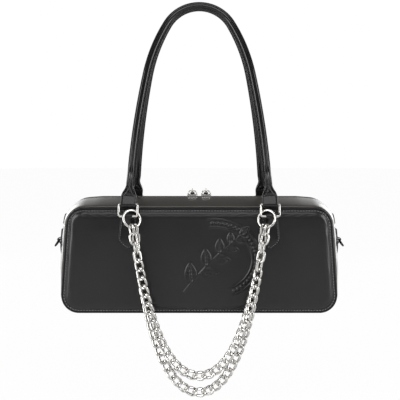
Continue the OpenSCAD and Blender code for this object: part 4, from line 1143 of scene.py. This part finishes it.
def strand_places(n, h, y1):
    """Middles and directions of n links between the hook h and its mirror image, at depth y1.

    The curve is a catenary, height a*cosh(x/a). Halving steps find the a that gives the
    strand's length. The end links leave it by spread (depth) and aside (x) to reach the hook.
    """
    most = (n - 1)/2
    spread = lambda m: h[1] + (y1 - h[1])*np.interp(most - m, [0, 1, 2], [0.23, 0.72, 1])
    aside = lambda m: (h[0] - SHARED_X)*(1 - np.interp(most - m, [0, 1, 2, 4], [0.03, 0.33, 0.89, 1]))
    m = np.arange(0, most + 0.5)
    dy, dx = np.diff(spread(m)), np.diff(aside(m))
    ss = np.r_[0, np.cumsum(np.sqrt(LINK_PITCH**2 - dy**2 - dx**2) + 0.16*dx)]
    full = ss[-1] + LINK_IN/2 - HOOP_WIRE - 0.95
    lo, hi = -SHARED_X/12, -SHARED_X*4
    for _ in range(60):
        mid = (lo + hi)/2
        lo, hi = (mid, hi) if mid*np.sinh(-SHARED_X/mid) > full else (lo, mid)
    a = (lo + hi)/2
    low = h[2] - np.sqrt(a*a + full*full) + a
    k = np.arange(n) - most
    s = np.sign(k)*ss[np.abs(k).astype(int)]
    x = a*np.arcsinh(s/a) - np.sign(k)*aside(np.abs(k))
    pts = np.stack([x, spread(np.abs(k)), low + np.sqrt(a*a + s*s) - a], 1)
    ends = np.concatenate([[h], pts, [h*[-1, 1, 1]]])
    return pts, unit(ends[2:] - ends[:-2])


SHARED_X = (hook(12.5)[0] + hook(-12.5)[0])/2


# %% Curb links
def curb_links(n, h, y1, rolls):
    """All links as one array: an oval centre line, turned about its length from roll to roll.

    rolls gives the angles in degrees at the joints between the first links, from the ring on.
    A link's flanks are pressed flat where they would stand out of the row.
    """
    pts, ax = strand_places(n, h, y1)
    er = (LINK_W - LINK_WIRE)/2
    half = (LINK_IN + LINK_WIRE)/2 - er
    q = np.radians(np.linspace(-90, 90, 11))
    run = np.linspace(-half, half, 5)[1:-1]
    x = np.r_[half + er*np.cos(q), run[::-1], -half - er*np.cos(q), run]
    z = np.r_[er*np.sin(q), np.full(3, er), -er*np.sin(q), np.full(3, -er)]
    begin, end = np.full(n, 45.0), np.full(n, -45.0)
    for ends_of in (begin, end):
        ends_of[:4] = rolls[:4]
        ends_of[-5:] = rolls[::-1]
    t = np.clip(x/(half + er)*1.05, -1, 1)*0.5 + 0.5
    roll = np.radians(begin[:, None] + (end - begin)[:, None]*t[None, :])
    hor = unit(np.cross([0, 1, 0], ax))
    ydir = unit(np.array([0, 1.0, 0]) - ax*ax[:, 1:2])
    lat = np.cos(roll)[..., None]*hor[:, None] + np.sin(roll)[..., None]*ydir[:, None]
    line = pts[:, None] + x[None, :, None]*ax[:, None] + z[None, :, None]*lat
    t3 = unit(np.roll(line, -1, 1) - np.roll(line, 1, 1))
    flat = unit(np.cross(ax[:, None], lat))
    out = unit(np.cross(t3, flat))
    up = unit(np.cross(out, t3))
    q = np.linspace(0, 2*np.pi, 9, endpoint=False)
    edge = np.minimum(np.arange(n), n - 1 - np.arange(n))
    r = np.where(edge < 3, LINK_WIRE/2, LINK_WIRE/2*THICKER)[:, None, None, None]
    grid = (line[:, :, None] + r*np.cos(q)[None, None, :, None]*out[:, :, None]
            + r*np.sin(q)[None, None, :, None]*up[:, :, None])
    away = grid[..., 1] - pts[:, None, None, 1]
    grid[..., 1] = pts[:, None, None, 1] + np.clip(away, -ROW_HALF, ROW_HALF)
    return [part(link, round_rows=True, round_cols=True) for link in grid]


# %% Both strands
short_parts = curb_links(39, hook(-12.5), -HALF_D - 8.3 - 9.8, [50, -20, 61, -29, 47])
long_parts = curb_links(43, hook(12.5), -HALF_D - 8.3, [48, -30, 41, -40, 43])
piece("short_chain_metal", short_parts, [nickel], "chain", ["short_chain"])
piece("long_chain_metal", long_parts, [nickel], "chain", ["long_chain"])

# %% [markdown]
# ## Side tabs and their rings
# A small pointed tab is sewn on each side, half way between the panels. A dark ring rests on it
# in a narrow loop, ready for a strap.

# %% Side tabs
# height of the side ring's bar, and how far it stands out from the gusset
SIDE_Z, SIDE_BAR = 82, LEATHER + 2.7
side_at = outline(SIDE_S + (BODY_H - CORNER - SIDE_Z)/np.cos(SIDE_A))[0] + CROWN + LEATHER*0.08
# the loop's way over the bar, as (out from the side, up from the bar)
loop_key = np.array([[1.3, -9], [1.9, -6.5], [3.2, -3.8], [5.2, -2.2], [6.7, -0.6], [6.75, 1.0],
                     [5.6, 2.2], [4.1, 2.4], [2.8, 3.4], [1.9, 6.0], [1.3, 8.6]])
# the tab's half width, and the length of its pointed end below u = POINT_U
SIDE_HALF, POINT_U, POINT_L = 10.0, -5.4, 12.6


def side_place(out, y, up, hand):
    """From the side tab's own frame, which leans with the side, to the bag."""
    x = side_at + out*np.cos(SIDE_A) - up*np.sin(SIDE_A)
    return np.stack([hand*x, y + 0*x, SIDE_Z + out*np.sin(SIDE_A) + up*np.cos(SIDE_A)], -1)


for name, hand in (("left", -1), ("right", 1)):
    u = np.r_[np.linspace(15, 12.2, 8), np.linspace(11.6, -5, 20),
              POINT_U - POINT_L*np.sin(np.linspace(0.06, np.pi/2, 16))]
    w = np.where(u > 12, 8.2 + 1.8*np.sqrt(np.clip((15.05 - u)/3, 0, 1)), SIDE_HALF)
    point = SIDE_HALF*np.clip(1 - (np.clip(POINT_U - u, 0, None)/POINT_L)**1.6, 0, 1) + 0.05
    w = np.where(u < POINT_U, point, w)
    c = np.linspace(-1, 1, 25)
    y = c[None, :]*w[:, None]
    U = np.broadcast_to(u[:, None], y.shape)
    rim = np.minimum(w[:, None] - np.abs(y), np.minimum(15.1 - U, U + 18.1))
    h = np.interp(rim, [0, 0.3, 0.8, 1.4, 1.9, 2.6, 5], [0.9, 1.5, 1.8, 1.78, 1.45, 1.75, 1.85])
    plate = closed_sheet(side_place(h, y, U, hand), side_place(0*h - 0.4, y, U, hand),
                         np.stack([U, y], -1)*0.001)
    edge = np.stack([np.clip(w - 1.9, 0, None), np.clip(u, -15.4, 13.1)], 1)
    loop = np.concatenate([edge, (edge*[-1, 1])[::-1]])
    sew = side_place(np.full(len(loop), 1.5), loop[:, 0], loop[:, 1], hand)
    out = side_place(np.full(len(loop), 3.0), loop[:, 0], loop[:, 1], hand) - sew
    rows = stitches(sew, unit(out), 1.9, 2.7)
    way = eased(loop_key, 44)
    path = side_place(way[:, 0], 0*way[:, 0], way[:, 1], hand)
    across = np.tile([0.0, 1.0, 0.0], (44, 1))
    sec = soft_box(3.2, 0.6, 5, 18)
    neck = carried(path, across, unit(np.cross(along(path), across)), np.tile(sec[:, 0], (44, 1)),
                   np.tile(sec[:, 1], (44, 1)))
    piece(name + "_side_tab_leather", [plate, rows, neck], [trim_calf, thread], "shell",
          [name + "_side_tab"])
    rest = SIDE_A + np.radians(29.6)
    bar = side_place(np.array([SIDE_BAR]), np.array([0.0]), np.array([0.0]), 1)[0]
    place = lambda x, h: np.stack([hand*(bar[0] + h*np.sin(rest)), x, bar[2] - h*np.cos(rest)], -1)
    piece(name + "_side_ring_metal", [ring_wire(6, 9, 3.6, 1.1, place)], [gunmetal], "side_ring_" + name,
          [name + "_side_ring"])

# %% [markdown]
# ## Inside
# The lining is a loose cotton bag sewn in below the zip, with a flat pocket on the back wall.
# Its walls are grids with the slight slack of cloth, thickened by a modifier. The pocket stands
# off the wall a little more towards its open upper edge, which has a sewn hem.

# %% Lining
INSIDE = 5.3
lining_y = FACE_Y - PANEL_T - 1.2 - 0.5
s_top = SIDE_S - CORNER_L*0.45
s = np.linspace(s_top, 2*HALF_S - s_top, 150)
y = np.linspace(-lining_y, lining_y, 30)
S, Y = np.meshgrid(s, y, indexing="ij")
x, z, q, _ = outline(S)
slack = INSIDE + 0.35*np.sin(S/13)*np.sin(Y/12 + 1) + 0.2*np.sin(S/5.5 + Y/8)
slack = np.where(np.abs(Y) > lining_y - 0.5, INSIDE, slack)
around = np.stack([x - slack*np.cos(q), Y, z - slack*np.sin(q)], -1)
walls = [part(around, np.stack([S, Y], -1)*0.001)]
for side in (-1, 1):
    zz = np.linspace(INSIDE, around[0, 0, 2], 44)
    c = np.linspace(-1, 1, 120)
    X = c[None, :]*half_width(zz, INSIDE)[:, None]
    Z = np.broadcast_to(zz[:, None], X.shape)
    give = np.clip((edge_distance(X, Z) - 6)/10, 0, 1)*(0.4 + 0.4*np.sin(X/21)*np.sin(Z/17 + side))
    walls.append(part(np.stack([X, side*(lining_y - give), Z], -1), np.stack([X, Z], -1)*0.001))
lining = piece("lining_cloth", walls, [lining_twill], "shell", ["lining"])
thick = lining.modifiers.new("cloth thickness", "SOLIDIFY")
thick.thickness, thick.offset = 0.0008, -1

# %% Slip pocket
POCKET_HALF, POCKET_LOW, POCKET_Y, HEM_Z = 75, 11, 41.2, 78.0
c, t = np.linspace(-POCKET_HALF, POCKET_HALF, 76), np.linspace(POCKET_LOW, 83, 36)
X, Z = np.meshgrid(c, t, indexing="ij")
near = np.clip(np.minimum(POCKET_HALF - np.abs(X), Z - POCKET_LOW)/9, 0, 1)
bulge = 4.6*near*(0.25 + 0.75*np.clip((Z - POCKET_LOW)/60, 0, 1)) + 0.2*np.sin(X/9)*near
hem = 0.35*np.exp(-((Z - HEM_Z)/0.5)**2)
front = np.stack([X, POCKET_Y - bulge - 0.5 + hem, Z], -1)
back = np.stack([X, POCKET_Y - bulge + 0.2 + hem, Z], -1)
pocket = closed_sheet(front, back, np.stack([X, Z], -1)*0.001)
hem_line = np.stack([c, POCKET_Y - bulge[:, 33] - 0.45, np.full(76, HEM_Z)], 1)
rows = stitches(hem_line, np.tile([0, -1.0, 0], (76, 1)), 2.2, 3.2)
piece("slip_pocket_cloth", [pocket, rows], [lining_twill, thread], "shell", ["slip_pocket"])

# %% [markdown]
# ## Boards
# The solids of the stiffening boards are right as they are. They only get the card's finish.

# %% Boards behind the leather
for name in ("front_stiffener", "back_stiffener", "base_board"):
    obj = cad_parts[name]
    obj.data.materials.clear()
    obj.data.materials.append(card[0])
print("boards dressed")

# %% [markdown]
# ## Camera, floor and light
# The picture was taken square to the front from a little above the middle. A slight downward
# tilt and a small shift of the lens frame it.

# %% Camera
PICTURE_W, FOCAL_PIXELS, SENSOR = 400, 760, 36
CAMERA_Z, DOWN = 221, 2.96
cam = bpy.data.objects.new("camera", bpy.data.cameras.new("camera"))
bpy.context.scene.collection.objects.link(cam)
cam.location = Vector((-0.0005, -0.9475, (CAMERA_Z - GRIP)*0.001))
cam.rotation_euler = (np.radians(90 - DOWN), 0, 0)
cam.data.sensor_width = SENSOR
cam.data.lens = FOCAL_PIXELS/PICTURE_W*SENSOR
cam.data.shift_x, cam.data.shift_y = 0.003, -0.08
bpy.context.scene.camera = cam

print("lens %.1f mm on a %d mm sensor" % (cam.data.lens, SENSOR))

# %% [markdown]
# ### Floor
# The bag hangs over a sheet of pale seamless paper. For the camera the paper shines almost
# white, so no shadow or edge shows, and for everything else it is plain paper.

# %% Floor
floor_z, reach = cad_box[0][2] - 0.04, 6
mesh = bpy.data.meshes.new("studio_floor")
corners = [(-reach, -reach, floor_z), (reach, -reach, floor_z), (reach, reach, floor_z),
           (-reach, reach, floor_z)]
mesh.from_pydata(corners, [], [(0, 1, 2, 3)])
floor = bpy.data.objects.new("studio_floor", mesh)
bpy.context.scene.collection.objects.link(floor)
m, tree, shader, place = start_finish("pale seamless paper", "#f0f0ef", 0.9)
grit = add(tree, "ShaderNodeTexNoise", {"Scale": 60.0}, {"Vector": (place, "Object")})
relief(tree, shader, [((grit, "Fac"), 0.02, 0.2)])
seen = add(tree, "ShaderNodeLightPath")
white = add(tree, "ShaderNodeEmission", {"Color": (1, 1, 1, 1), "Strength": 1.0})
share = add(tree, "ShaderNodeMath", {"operation": "MULTIPLY", 1: 0.97}, {0: (seen, "Is Camera Ray")})
mix = add(tree, "ShaderNodeMixShader", None, {0: (share, 0), 1: (shader, "BSDF"), 2: (white, "Emission")})
tree.links.new(mix.outputs[0], tree.nodes["Material Output"].inputs["Surface"])
mesh.materials.append(m)

# %% [markdown]
# ### Room
# Black glossy leather shows mostly what it reflects, so the room is drawn for its reflections:
# the wall behind is bright at both sides and dim in the middle, the side walls and the ceiling
# are dark grey, and the wall in front of the bag is nearly black. Only the camera sees plain
# white, as in the picture.

# %% Room
world = bpy.data.worlds.new("studio")
bpy.context.scene.world = world
world.use_nodes = True
tree = world.node_tree
sky = tree.nodes["Background"]
way = add(tree, "ShaderNodeTexCoord")
split = add(tree, "ShaderNodeSeparateXYZ", None, {0: (way, "Generated")})
back_wall = add(tree, "ShaderNodeMapRange", {"From Min": 0.55, "From Max": 0.85, "To Max": 1.0},
                {"Value": (split, "Y")})
wide = add(tree, "ShaderNodeMath", {"operation": "ABSOLUTE"}, {0: (split, "X")})
side_wall = add(tree, "ShaderNodeMapRange", {"From Min": 0.62, "From Max": 0.95, "To Max": 0.1},
                {"Value": (wide, 0)})
ceiling = add(tree, "ShaderNodeMapRange",
              {"From Min": 0.35, "From Max": 0.95, "To Min": 0.04, "To Max": 0.2},
              {"Value": (split, "Z")})
flank = add(tree, "ShaderNodeMapRange",
            {"From Min": 0.08, "From Max": 0.28, "To Min": 0.12, "To Max": 1.4},
            {"Value": (wide, 0)})
lit_wall = add(tree, "ShaderNodeMath", {"operation": "MULTIPLY"},
               {0: (back_wall, "Result"), 1: (flank, "Result")})
walls = add(tree, "ShaderNodeMath", {"operation": "MAXIMUM"}, {0: (lit_wall, 0), 1: (side_wall, "Result")})
tone = add(tree, "ShaderNodeMath", {"operation": "MAXIMUM"}, {0: (walls, 0), 1: (ceiling, "Result")})
path = add(tree, "ShaderNodeLightPath")
shown = add(tree, "ShaderNodeMath", {"operation": "MAXIMUM"}, {0: (tone, 0), 1: (path, "Is Camera Ray")})
grey = add(tree, "ShaderNodeCombineColor", None, {0: (shown, 0), 1: (shown, 0), 2: (shown, 0)})
tree.links.new(grey.outputs[0], sky.inputs["Color"])
sky.inputs["Strength"].default_value = 1.0
print("room drawn from the direction of each ray")


# %% [markdown]
# ### Lamps
# Long softboxes draw the long soft highlights of the handles, the piping and the rings: one
# overhead, one high in front for the panels, a weak one before the face, one at each side for
# the tubes, and one at each side behind for the rounded corners.

# %% Lamps
def softbox(name, at, aim, size, power):
    """A rectangular area lamp at a place, turned to its aim."""
    lamp = bpy.data.lights.new(name, "AREA")
    lamp.shape, lamp.size, lamp.size_y, lamp.energy = "RECTANGLE", size[0], size[1], power
    obj = bpy.data.objects.new(name, lamp)
    obj.location = Vector(at)
    obj.rotation_euler = (Vector(aim) - Vector(at)).to_track_quat("-Z", "Y").to_euler()
    bpy.context.scene.collection.objects.link(obj)


middle = (0, 0, -0.3)
softbox("top softbox", (0, -0.25, 1.0), middle, (1.3, 0.3), 2.6)
softbox("high softbox", (0, -1.25, 1.25), middle, (1.2, 0.4), 7)
softbox("front softbox", (0, -1.7, 0.31), middle, (0.9, 0.28), 2.2)
for hand in (-1, 1):
    softbox("side softbox", (hand*1.25, -0.82, 0.1), middle, (0.6, 1.2), 15)
    softbox("rim softbox", (hand*0.82, 1.0, -0.1), (hand*0.16, 0, -0.28), (0.55, 0.9), 2.2)
bpy.context.scene.view_settings.view_transform = "Standard"
print("seven softboxes set")

# %% [markdown]
# ## Sizes and the end
# The box of the imported solids is printed, so that the looks can be held against the solids.

# %% Sizes and the end
print("cad box", [round(x*1000, 1) for v in cad_box for x in v])
